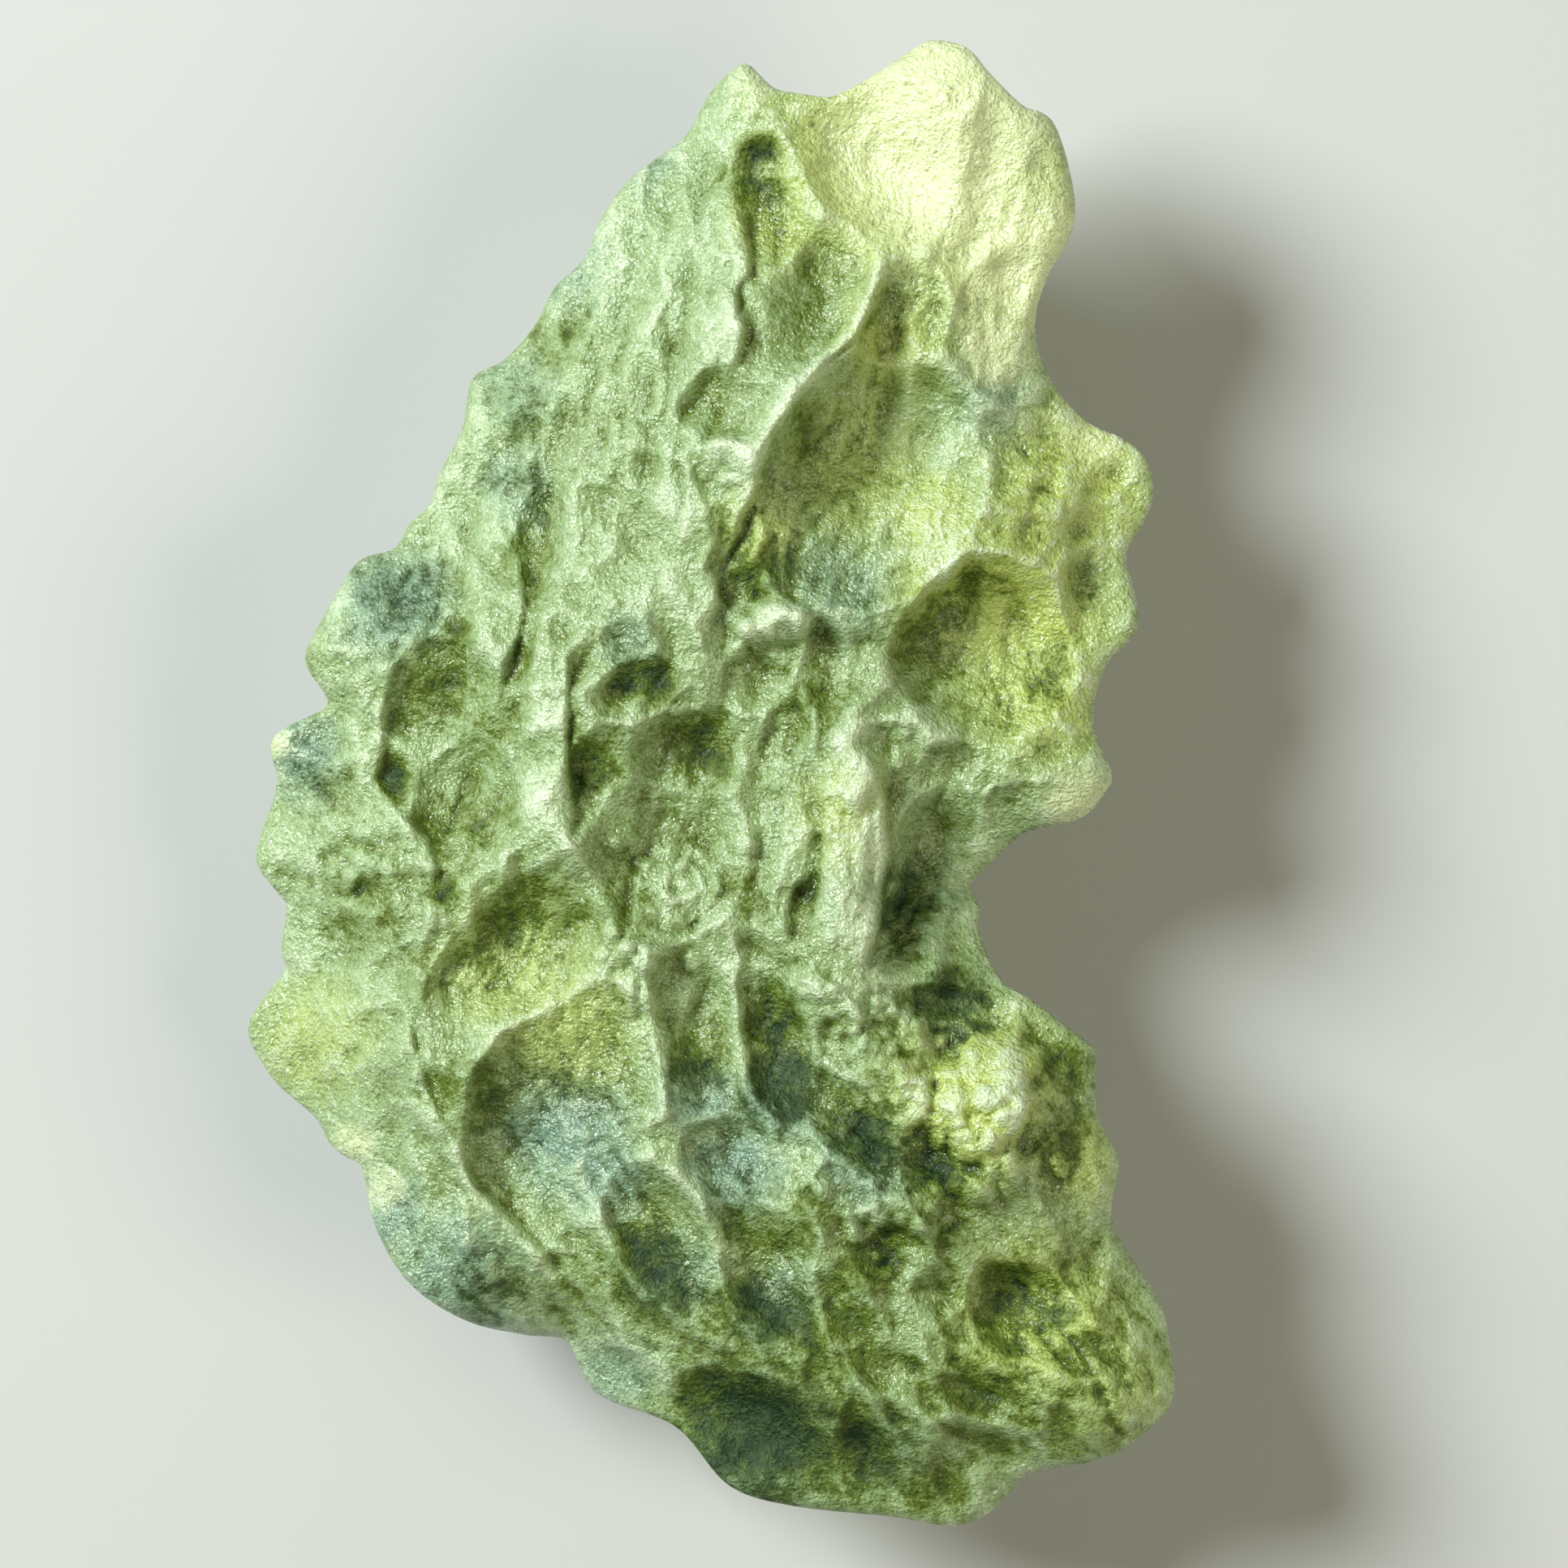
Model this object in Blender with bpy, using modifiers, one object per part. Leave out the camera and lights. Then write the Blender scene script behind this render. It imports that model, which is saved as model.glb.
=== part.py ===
"""A moldavite: one flat, crescent-like piece of natural glass, etched all over into deep
hollows with crisp crests between them. It lies on its back on a small ground of worn spots.

The stone is shaped in millimetres, which suits voxel sizes, and turned into metres at the end.
Its outline and its hollows are placed in pixels of the picture they were read from, so that
one scale, PIXEL, sets its size. X runs to the right, Y up the length, Z towards the viewer.
"""
import math

import bmesh
import bpy
import numpy as np
from mathutils import Matrix, Vector

# Driving dimensions in millimetres
LENGTH = 30.0
FRONT_RISE = 2.2
BACK_DROP = 4.0
RIM_THICKNESS = 0.44
REST_CUT = 0.40

# The picture's rows of the highest and lowest tip, and the pixel at the middle of the outline
TIP_ROW = 55
FOOT_ROW = 1877
MIDDLE_PIXEL = (872, 966)
PIXEL = LENGTH / (FOOT_ROW - TIP_ROW)

# How each face grows from the rim: how far in it is full, and how much steeper it starts
FRONT_DOME = (4.8, 1.4)
BACK_DOME = (4.4, 1.7)
# Over what width the relief fades out towards the rim, and the width of a step's own face
RELIEF_FADE = 0.55
STEP_WIDTH = 0.06
LEAST_THICKNESS = 0.36
# The steepness and the size of the hollows and lobes below are raised by these factors
HOLLOW_GAIN = 1.05
HOLLOW_REACH = 1.12
LOBE_GAIN = 1.05
LOBE_REACH = 1.10
# How much steeper the front's hollows are at their upper left than at their lower right
HOLLOW_LEAN = 0.65
# The rim's plane climbs towards +X by this slope, while the middle of the back stays level
LEAN = 0.12

# Mesh fineness
OUTLINE_STEPS = 4
VOXEL = 0.16
RELIEF_CELL = 0.08
MAP_HALF = (11.0, 16.5)
TRIANGLES = 8800
SEED = 11

# Outline, clockwise from the horn at the upper left, in pixels
OUTLINE = [
    (922, 81), (941, 99), (958, 113), (999, 121), (1025, 123), (1060, 107), (1101, 81),
    (1137, 58), (1157, 55), (1191, 66), (1219, 99), (1257, 137), (1280, 145), (1298, 162),
    (1314, 209), (1323, 265), (1313, 303), (1291, 341), (1275, 390), (1279, 436), (1303, 482),
    (1342, 522), (1380, 540), (1410, 565), (1420, 604), (1410, 642), (1387, 683), (1395, 724),
    (1400, 775), (1362, 820), (1347, 864), (1347, 902), (1367, 951), (1361, 973), (1329, 1008),
    (1265, 1024), (1237, 1047), (1202, 1081), (1196, 1093), (1208, 1121), (1204, 1137),
    (1216, 1175), (1237, 1210), (1268, 1229), (1339, 1283), (1348, 1295), (1350, 1369),
    (1371, 1413), (1376, 1438), (1367, 1497), (1395, 1550), (1429, 1604), (1439, 1649),
    (1445, 1703), (1431, 1738), (1367, 1788), (1267, 1813), (1242, 1840), (1212, 1865),
    (1173, 1877), (1098, 1865), (979, 1853), (899, 1828), (834, 1758), (750, 1728),
    (720, 1703), (698, 1655), (647, 1647), (575, 1628), (506, 1582), (464, 1517), (448, 1456),
    (441, 1435), (422, 1427), (402, 1410), (383, 1379), (330, 1333), (299, 1272), (330, 1218),
    (347, 1195), (342, 1170), (349, 1118), (338, 1101), (311, 1055), (337, 971), (331, 921),
    (346, 898), (399, 872), (400, 856), (375, 811), (399, 757), (438, 692), (484, 674),
    (503, 643), (528, 618), (541, 580), (569, 523), (581, 464), (622, 440), (660, 397),
    (683, 354), (721, 317), (742, 267), (780, 216), (844, 168), (874, 117), (905, 86),
]

# Broad swells and sags of the whole stone: x, y, radius in pixels, front and back in millimetres
SWELLS = [
    (1150, 230, 230, -0.75, 0.65),
    (1340, 660, 150, -0.35, 0.40),
    (900, 950, 190, -0.55, 0.20),
    (860, 420, 170, 0.55, 0.00),
    (700, 820, 170, 0.35, 0.00),
    (470, 1180, 190, 0.25, 0.30),
    (1010, 1120, 130, 0.35, 0.00),
    (1200, 1380, 150, 0.55, -0.10),
    (700, 1560, 170, 0.15, -0.20),
    (1230, 1680, 190, -0.10, 0.25),
    (1010, 800, 140, 0.00, -0.25),
    (1060, 1180, 110, 0.00, -0.35),
]

# Where the rim lies higher or lower than its plane: x, y, radius in pixels, lift in mm
BENDS = [
    (1180, 120, 260, 0.75), (880, 120, 120, -0.35), (1400, 620, 150, -0.55),
    (1340, 980, 110, 0.50), (1190, 1110, 110, -0.35), (1340, 1330, 130, 0.40),
    (1440, 1700, 220, -0.55), (1120, 1880, 200, 0.45), (760, 1720, 160, -0.30),
    (520, 1560, 170, 0.50), (310, 1280, 150, -0.60), (400, 860, 130, 0.45),
    (320, 1020, 90, -0.30), (580, 500, 170, -0.45), (740, 280, 130, 0.30),
]
# Plane waves that ripple the rim further: how many, wavelength range and height in mm
RIPPLES = 9
RIPPLE_WAVELENGTHS = (3.2, 8.0)
RIPPLE_HEIGHT = 0.10

# Hollows of the front: x, y, half length, half width in pixels, turn in degrees, and steepness,
# which is the depth over the half width
FRONT_HOLLOWS = [
    # upper right lobe
    (1080, 205, 128, 88, -55, 0.50), (1205, 262, 128, 60, 82, 0.42), (1228, 375, 75, 52, 80, 0.40),
    (1272, 225, 60, 34, 85, 0.35), (1135, 92, 52, 30, 25, 0.35), (1238, 158, 48, 30, -48, 0.40),
    (1000, 143, 46, 26, -10, 0.50),
    # below the horn
    (944, 222, 52, 36, 85, 0.55), (966, 292, 84, 44, -72, 0.62), (1000, 372, 102, 62, 58, 0.66),
    (935, 420, 62, 30, 85, 0.60), (938, 187, 18, 12, -60, 0.70),
    # the deep teardrop
    (1070, 602, 168, 130, 70, 0.62), (1108, 440, 118, 58, 78, 0.60),
    # right side
    (1292, 548, 98, 36, -8, 0.40), (1372, 592, 44, 32, 60, 0.40), (1350, 655, 52, 36, 30, 0.40),
    (1256, 655, 62, 32, 5, 0.45), (1338, 742, 78, 48, 75, 0.55), (1212, 812, 128, 104, 75, 0.52),
    (1276, 925, 62, 34, 5, 0.50), (1335, 905, 34, 30, 60, 0.40), (1178, 948, 66, 40, 35, 0.50),
    (1150, 1045, 84, 46, 65, 0.50), (1125, 1142, 62, 44, 80, 0.50), (1255, 985, 46, 24, 15, 0.40),
    # middle
    (900, 492, 58, 46, 10, 0.50), (1022, 818, 56, 34, 80, 0.60), (932, 648, 84, 32, 50, 0.60),
    (936, 722, 48, 40, 10, 0.45), (942, 822, 62, 38, 40, 0.45), (792, 852, 60, 36, 25, 0.60),
    (846, 932, 80, 58, 30, 0.60), (962, 905, 72, 30, 55, 0.55), (812, 1062, 112, 98, 70, 0.52),
    (738, 985, 66, 44, 75, 0.60), (922, 1062, 84, 22, 88, 0.50), (990, 1120, 66, 18, 80, 0.60),
    (1098, 925, 46, 30, -20, 0.40), (940, 1175, 48, 24, -40, 0.60),
    # left side
    (668, 690, 124, 28, 88, 0.55), (562, 768, 34, 24, 80, 0.45), (545, 862, 84, 60, 84, 0.50),
    (578, 985, 84, 62, 82, 0.50), (500, 962, 34, 26, 70, 0.60), (498, 740, 72, 48, 30, 0.32),
    (410, 815, 40, 32, 20, 0.30), (398, 935, 74, 46, 85, 0.36), (440, 1062, 50, 34, 40, 0.36),
    (592, 1222, 104, 60, 74, 0.55), (668, 1165, 122, 82, 52, 0.55), (402, 1140, 60, 34, -20, 0.30),
    (560, 1080, 34, 20, 80, 0.60), (745, 520, 40, 15, 78, 0.50), (700, 560, 90, 30, 70, 0.30),
    (620, 560, 80, 28, 62, 0.35), (760, 400, 90, 30, 68, 0.25), (640, 820, 48, 24, 80, 0.60),
    (770, 800, 44, 30, 40, 0.50),
    # lower middle
    (702, 1368, 150, 112, 62, 0.52), (862, 1282, 118, 56, -76, 0.58), (968, 1302, 132, 44, -72, 0.58),
    (1032, 1292, 46, 24, -62, 0.60), (1180, 1238, 84, 30, -8, 0.55), (820, 1396, 34, 24, -60, 0.50),
    # the row of bowls
    (906, 1430, 70, 56, -52, 0.58), (984, 1420, 38, 30, -40, 0.50), (1060, 1402, 98, 46, -48, 0.60),
    (1152, 1444, 76, 52, -48, 0.50), (820, 1524, 110, 56, -56, 0.64), (938, 1568, 106, 54, -62, 0.64),
    (1084, 1540, 62, 42, -48, 0.65), (1140, 1592, 46, 32, -40, 0.50), (1252, 1610, 78, 60, -28, 0.58),
    (1040, 1472, 48, 28, -30, 0.50), (1190, 1502, 62, 32, -5, 0.50), (1318, 1450, 54, 40, 85, 0.45),
    # lower slope
    (1332, 1664, 66, 38, -18, 0.45), (1042, 1622, 78, 30, -58, 0.55), (1216, 1722, 66, 34, -12, 0.50),
    (1102, 1694, 84, 28, -34, 0.50), (1232, 1790, 78, 36, -18, 0.45), (1082, 1804, 84, 42, -62, 0.42),
    (930, 1762, 116, 66, -22, 0.45), (722, 1540, 70, 24, -60, 0.50), (610, 1445, 84, 30, -78, 0.50),
    (630, 1580, 76, 26, -52, 0.45), (520, 1540, 92, 42, -58, 0.32), (762, 1700, 64, 38, -26, 0.36),
    (548, 1452, 84, 26, -55, 0.35), (1384, 1602, 66, 28, -68, 0.40), (1300, 1312, 82, 38, -58, 0.45),
    (800, 1620, 84, 26, -48, 0.50), (700, 1620, 60, 30, -40, 0.32),
]

# Lobes and tongues that stand up from the front, in the same terms
FRONT_LOBES = [
    (905, 140, 70, 30, 70, 0.40), (895, 285, 42, 27, 85, 0.42), (906, 335, 30, 18, 85, 0.42),
    (888, 405, 52, 24, 85, 0.42), (900, 562, 46, 34, 15, 0.34), (850, 700, 160, 36, -80, 0.42),
    (672, 905, 146, 27, 88, 0.42), (742, 862, 60, 20, 84, 0.42), (600, 712, 96, 34, 80, 0.34),
    (962, 772, 46, 26, 0, 0.42), (965, 1035, 96, 20, 84, 0.45), (1046, 1050, 172, 46, 88, 0.55),
    (830, 1085, 58, 50, 40, 0.42), (795, 1175, 60, 34, -50, 0.38), (1130, 905, 46, 30, -10, 0.42),
    (1222, 1352, 86, 74, 20, 0.48), (1020, 1232, 60, 40, -50, 0.34), (840, 1215, 30, 22, 60, 0.42),
    (1100, 1330, 70, 34, -40, 0.38), (700, 1420, 80, 50, 40, 0.24), (446, 1058, 26, 20, 0, 0.40),
    (545, 1120, 24, 20, 0, 0.40), (1316, 992, 48, 22, 10, 0.45), (1120, 1560, 34, 20, -20, 0.42),
]

# Lines of the front: the height of the step across it and of the ridge along it in millimetres,
# its width in pixels, and its points. Read downwards, the step's low side is on the right.
CREST_LINES = [
    (0.16, 0.04, 22, [(486, 815), (484, 870), (488, 930), (472, 960), (500, 1000), (535, 1022),
                      (552, 1060), (566, 1102)]),
    (0.14, 0.04, 24, [(484, 1205), (500, 1250), (512, 1300), (530, 1345), (565, 1400), (588, 1455),
                      (645, 1505), (700, 1580)]),
    (0.09, 0.03, 20, [(462, 1436), (505, 1478), (532, 1535), (560, 1590), (612, 1632)]),
    (0.10, 0.04, 20, [(560, 1400), (602, 1470), (660, 1530), (702, 1590), (762, 1650), (846, 1690)]),
    (0.14, 0.05, 18, [(605, 640), (638, 698), (641, 750), (626, 800), (600, 832)]),
    (0.22, 0.04, 18, [(698, 778), (706, 850), (706, 930), (704, 1000), (696, 1046)]),
    (0.20, 0.04, 18, [(914, 262), (927, 300), (922, 336), (904, 353), (905, 386), (915, 410),
                      (910, 440), (898, 464)]),
    (0.20, 0.06, 22, [(1098, 318), (1082, 376), (1046, 414), (1008, 442), (974, 480), (950, 530),
                      (942, 590)]),
    (0.14, 0.03, 16, [(860, 546), (896, 536), (932, 548)]),
    (0.18, 0.03, 18, [(932, 548), (936, 592), (906, 650), (892, 700), (880, 760), (870, 806)]),
    (0.00, 0.14, 13, [(938, 196), (962, 226), (992, 270), (1050, 308), (1108, 320)]),
    (0.00, 0.14, 15, [(1106, 318), (1124, 370), (1142, 430), (1200, 478), (1240, 512), (1290, 542)]),
    (0.10, 0.08, 18, [(1196, 690), (1140, 736), (1070, 770), (1014, 764), (986, 716)]),
    (0.20, 0.05, 20, [(1056, 920), (1090, 990), (1087, 1080), (1078, 1150), (1074, 1206)]),
    (0.14, 0.04, 16, [(1012, 1160), (1000, 1090), (1004, 1010), (998, 940)]),
    (0.12, 0.05, 18, [(800, 1200), (826, 1270), (832, 1330), (840, 1380)]),
    (0.10, 0.05, 16, [(905, 1200), (922, 1270), (935, 1330), (962, 1390)]),
    (0.00, 0.10, 12, [(780, 1590), (860, 1640), (960, 1700), (1030, 1770), (1066, 1836)]),
    (0.00, 0.09, 12, [(864, 1596), (930, 1640), (1010, 1682), (1100, 1722), (1160, 1772), (1196, 1850)]),
    (0.06, 0.05, 14, [(1180, 1660), (1260, 1690), (1330, 1690), (1400, 1668)]),
    (0.06, 0.05, 14, [(1160, 1730), (1240, 1760), (1330, 1752), (1400, 1720)]),
    (0.10, 0.05, 16, [(1262, 1230), (1246, 1290), (1262, 1350), (1250, 1420), (1266, 1480)]),
    (0.00, 0.08, 10, [(700, 560), (716, 620), (712, 690), (736, 760)]),
    (0.00, 0.07, 10, [(800, 620), (806, 690), (800, 760), (812, 820)]),
    (0.00, 0.08, 11, [(744, 400), (752, 470), (770, 540), (762, 610)]),
    (0.00, 0.08, 11, [(680, 420), (690, 480), (676, 545), (690, 600)]),
    (0.00, 0.07, 10, [(800, 270), (812, 340), (806, 420), (822, 490)]),
    (0.00, 0.09, 12, [(581, 470), (606, 540), (592, 600)]),
    (0.00, 0.08, 12, [(440, 700), (500, 716), (552, 700), (560, 650)]),
    (0.00, 0.08, 12, [(392, 800), (440, 798), (486, 812)]),
    (0.00, 0.08, 12, [(340, 912), (372, 940), (420, 950), (440, 1000)]),
    (0.00, 0.08, 12, [(322, 1050), (372, 1060), (420, 1100), (470, 1140)]),
    (0.00, 0.08, 12, [(346, 1176), (396, 1190), (446, 1206), (486, 1206)]),
]

# Scattered hollows: spacing, half length and half width in millimetres, and steepness
BACK_SCATTER = [(2.9, 2.3, 1.6, 0.50), (1.3, 0.95, 0.62, 0.48)]
FRONT_SCATTER = [(1.15, 0.80, 0.46, 0.34)]
# The furrows lead outwards from this pixel
FLOW_PIXEL = (900, 900)

# The flutes of the back's flanks: lattice cell in millimetres, and share of the depth
FLUTES = [(1.9, 0.38), (0.8, 0.16)]

# The wander of every crest: lattice cell and reach, in millimetres
WANDER = [(2.2, 0.20), (0.8, 0.09)]

# Sharp-crested wrinkles: size across and height in millimetres, and how much longer they run
WRINKLES = [(1.10, 0.15), (0.55, 0.11)]
WRINKLE_STRETCH = 2.0
WRINKLE_LEVEL = 0.4
# The way they run in degrees: on the upper front, on the lower front and on the back
UPPER_LEAD = 80
LOWER_LEAD = -58
BACK_LEAD = 70
# The upper lead turns into the lower one between these rows
LEAD_ROWS = (1150, 1500)

GLASS_COLOUR = (0.33, 0.44, 0.16, 1.0)
GLASS_ROUGHNESS = 0.38
GLASS_IOR = 1.49


def placed(column, row):
    """Millimetres in the stone's plane for a pixel of the picture."""
    return ((column - MIDDLE_PIXEL[0]) * PIXEL, (MIDDLE_PIXEL[1] - row) * PIXEL)


def outline_loop(steps):
    """A closed Catmull-Rom curve through OUTLINE, as an array of points in millimetres."""
    knots = np.array([placed(*pixel) for pixel in OUTLINE])
    before = np.roll(knots, 1, axis=0)
    after = np.roll(knots, -1, axis=0)
    beyond = np.roll(knots, -2, axis=0)
    loop = []
    for step in range(steps):
        t = step / steps
        bend = (2 * before - 5 * knots + 4 * after - beyond) * t * t
        twist = (3 * knots - before - 3 * after + beyond) * t ** 3
        loop.append((2 * knots + (after - before) * t + bend + twist) / 2)
    return np.stack(loop, axis=1).reshape(-1, 2)


def soft_depth(points, loop):
    """A smooth distance in from the outline: the integral of 1/r^3 along it, turned round.

    It equals the true distance beside a straight rim and has no creases further in.
    """
    total = np.zeros(len(points))
    for start, end in zip(loop, np.roll(loop, -1, axis=0)):
        along = (end - start) / np.linalg.norm(end - start)
        offset = points - start
        run = offset @ along
        rest = np.linalg.norm(end - start) - run
        height = np.maximum(np.abs(offset[:, 0] * along[1] - offset[:, 1] * along[0]), 1e-4)
        total += (rest / np.hypot(height, rest) + run / np.hypot(height, run)) / height ** 2
    return np.sqrt(2 / total)


class Relief:
    """A map of heights over the stone's plane, in millimetres, on which shapes are stamped."""

    def __init__(self, lean=0.0):
        self.lean = lean
        self.cell = RELIEF_CELL
        self.low = -np.array(MAP_HALF)
        self.size = np.round(2 * np.array(MAP_HALF) / RELIEF_CELL).astype(int) + 1
        self.map = np.zeros(self.size)

    def stamp(self, x, y, half_length, half_width, turn, steepness):
        """Raise the map to an upturned bowl, where it is lower.

        The map's lean makes the bowl steeper at the upper left and gentler at the lower right.
        """
        first = np.maximum(((np.array([x, y]) - half_length - self.low) / self.cell).astype(int), 0)
        last = ((np.array([x, y]) + half_length - self.low) / self.cell).astype(int) + 2
        last = np.minimum(last, self.size)
        if np.any(first >= last):
            return
        across = self.low[0] + self.cell * np.arange(first[0], last[0])[:, None] - x
        up = self.low[1] + self.cell * np.arange(first[1], last[1])[None, :] - y
        along = (across * math.cos(turn) + up * math.sin(turn)) / half_length
        beside = (up * math.cos(turn) - across * math.sin(turn)) / half_width
        patch = self.map[first[0]:last[0], first[1]:last[1]]
        tilt = np.maximum(1 + self.lean * (up - across) / (half_length + half_width), 0.2)
        bowl = steepness * half_width * (1 - along ** 2 - beside ** 2)
        np.maximum(patch, bowl * tilt, out=patch)

    def draw(self, step, lift, width, line):
        """Add a step across a line and a ridge along it, both fading towards its ends."""
        line = np.array([placed(*pixel) for pixel in line])
        width = width * PIXEL
        first = np.maximum(((line.min(axis=0) - 5 * width - self.low) / self.cell).astype(int), 0)
        last = ((line.max(axis=0) + 5 * width - self.low) / self.cell).astype(int) + 2
        last = np.minimum(last, self.size)
        across = self.low[0] + self.cell * np.arange(first[0], last[0])[:, None]
        up = self.low[1] + self.cell * np.arange(first[1], last[1])[None, :]
        near = np.full((last[0] - first[0], last[1] - first[1]), 1e9)
        height = np.zeros_like(near)
        for index, (start, end) in enumerate(zip(line[:-1], line[1:])):
            run = end - start
            offset = (across - start[0], up - start[1])
            part = np.clip((offset[0] * run[0] + offset[1] * run[1]) / (run @ run), 0, 1)
            gap = np.hypot(offset[0] - part * run[0], offset[1] - part * run[1])
            side = np.sign(offset[1] * run[0] - offset[0] * run[1])
            share = (index + part) / (len(line) - 1)
            fade = np.clip(4 * np.minimum(share, 1 - share), 0, 1)
            cliff = -side * np.exp(-gap / width) * (1 - np.exp(-gap / STEP_WIDTH))
            made = fade * (step * cliff + lift * np.exp(-(gap / width) ** 2))
            height = np.where(gap < near, made, height)
            near = np.minimum(near, gap)
        self.map[first[0]:last[0], first[1]:last[1]] += height

    def stamp_table(self, table, gain, reach):
        """Stamp a table's rows, their steepness times the gain and their sizes times the reach."""
        for column, row, half_length, half_width, turn, steepness in table:
            x, y = placed(column, row)
            self.stamp(x, y, half_length * PIXEL * reach, half_width * PIXEL * reach,
                       math.radians(turn), steepness * gain)

    def scatter(self, rng, spacing, half_length, half_width, steepness):
        """Stamp bowls on a jittered grid, each turned along the furrows' lead."""
        middle = placed(*FLOW_PIXEL)
        for x in np.arange(-MAP_HALF[0], MAP_HALF[0], spacing):
            for y in np.arange(-MAP_HALF[1], MAP_HALF[1], spacing):
                jitter = rng.uniform(-0.45, 0.45, 2) * spacing
                size = rng.uniform(0.75, 1.35)
                lead = math.atan2(y + jitter[1] - middle[1], x + jitter[0] - middle[0])
                self.stamp(x + jitter[0], y + jitter[1], half_length * size, half_width * size,
                           lead + rng.normal(0, 0.35), steepness * rng.uniform(0.6, 1.2))

    def places(self):
        """The points of the map's cells, row by row."""
        across, up = (low + self.cell * np.arange(size) for low, size in zip(self.low, self.size))
        return np.stack(np.meshgrid(across, up, indexing="ij"), axis=-1).reshape(-1, 2)

    def add(self, heights):
        """Add heights that are in the order of places()."""
        self.map += heights.reshape(self.size)

    def at(self, points):
        """Heights at points, between the map's cells in straight lines."""
        place = (points - self.low) / self.cell
        corner = np.clip(place.astype(int), 0, self.size - 2)
        part = np.clip(place - corner, 0, 1)
        i, j = corner.T
        u, v = part.T
        near = self.map[i, j] * (1 - v) + self.map[i, j + 1] * v
        far = self.map[i + 1, j] * (1 - v) + self.map[i + 1, j + 1] * v
        return near * (1 - u) + far * u


def lattice_noise(points, cell, rng):
    """Smooth random numbers between -1 and 1, one to each lattice cell."""
    count = np.ceil(2 * np.array(MAP_HALF) / cell).astype(int) + 2
    values = rng.uniform(-1, 1, count)
    place = np.clip((points + np.array(MAP_HALF)) / cell, 0, count - 1.001)
    corner = place.astype(int)
    part = place - corner
    u, v = (part * part * (3 - 2 * part)).T
    i, j = corner.T
    near = values[i, j] * (1 - v) + values[i, j + 1] * v
    far = values[i + 1, j] * (1 - v) + values[i + 1, j + 1] * v
    return near * (1 - u) + far * u


def wandered(points, rng):
    """The points shifted a little each way, so that no crest stays a plain ellipse."""
    shifted = points.copy()
    for cell, reach in WANDER:
        for axis in (0, 1):
            shifted[:, axis] += reach * lattice_noise(points, cell, rng)
    return shifted


def wrinkles(points, table, lead, rng):
    """Sharp crests and round furrows of several sizes, which run along the lead."""
    turn = math.radians(lead)
    along = points @ np.array([math.cos(turn), math.sin(turn)]) / WRINKLE_STRETCH
    beside = points @ np.array([-math.sin(turn), math.cos(turn)])
    stretched = np.stack((along, beside), axis=1)
    return sum(height * (WRINKLE_LEVEL - np.abs(lattice_noise(stretched, cell, rng)))
               for cell, height in table)


def front_wrinkles(points, table, rng):
    """Wrinkles that run one way above the rows of the turn and another way below them."""
    upper, lower = (placed(0, row)[1] for row in LEAD_ROWS)
    share = np.clip((points[:, 1] - upper) / (lower - upper), 0, 1)
    return (wrinkles(points, table, UPPER_LEAD, rng) * (1 - share)
            + wrinkles(points, table, LOWER_LEAD, rng) * share)


def rim_wave(points, rng):
    """How far the whole stone is bent up or down at each point."""
    wave = np.zeros(len(points))
    for column, row, radius, lift in BENDS:
        offset = points - np.array(placed(column, row))
        wave += lift * np.exp(-np.sum(offset ** 2, axis=1) / (radius * PIXEL) ** 2)
    for ripple in range(RIPPLES):
        turn, phase = rng.uniform(0, 2 * math.pi, 2)
        length = rng.uniform(*RIPPLE_WAVELENGTHS)
        run = points @ np.array([math.cos(turn), math.sin(turn)])
        wave += RIPPLE_HEIGHT * np.sin(2 * math.pi * run / length + phase)
    return wave


def fluted(depth, points, rng):
    """The depth with ribs and flutes, so that the back's flanks don't run straight."""
    return depth * (1 + sum(share * lattice_noise(points, cell, rng) for cell, share in FLUTES))


def dome(depth, reach, power):
    """A rise from 0 at the rim to 1 at reach, steep at first."""
    return 1 - (1 - np.clip(depth / reach, 0, 1)) ** power


def front_and_back(points, loop):
    """Heights of the front and the back above the rim's plane, in millimetres."""
    rng = np.random.default_rng(SEED)
    hollows = Relief(HOLLOW_LEAN)
    for scatter in FRONT_SCATTER:
        hollows.scatter(rng, *scatter)
    hollows.stamp_table(FRONT_HOLLOWS, HOLLOW_GAIN, HOLLOW_REACH)
    lobes = Relief()
    lobes.stamp_table(FRONT_LOBES, LOBE_GAIN, LOBE_REACH)
    for crest_line in CREST_LINES:
        lobes.draw(*crest_line)
    pits = Relief()
    for scatter in BACK_SCATTER:
        pits.scatter(rng, *scatter)
    bent = wandered(points, rng)
    depth = soft_depth(points, loop)
    bulge = dome(depth, *FRONT_DOME)
    back_bulge = dome(fluted(depth, bent, rng), *BACK_DOME)
    front = FRONT_RISE * bulge + LEAN * points[:, 0]
    back = -BACK_DROP * back_bulge + LEAN * points[:, 0] * (1 - back_bulge)
    inner = 1 - np.exp(-depth / RELIEF_FADE)
    for column, row, radius, rise, lift in SWELLS:
        offset = points - np.array(placed(column, row))
        swell = np.exp(-np.sum(offset ** 2, axis=1) / (radius * PIXEL) ** 2)
        front += rise * swell * bulge
        back += lift * swell * back_bulge
    wave = rim_wave(points, rng)
    lobes.add(front_wrinkles(lobes.places(), WRINKLES, rng))
    pits.add(-wrinkles(pits.places(), WRINKLES, BACK_LEAD, rng))
    front += (lobes.at(bent) - hollows.at(bent)) * inner
    back += pits.at(bent) * inner
    middle = (front + back) / 2 + wave
    half = np.maximum((front - back + RIM_THICKNESS) / 2, LEAST_THICKNESS / 2)
    return middle + half, middle - half


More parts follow.
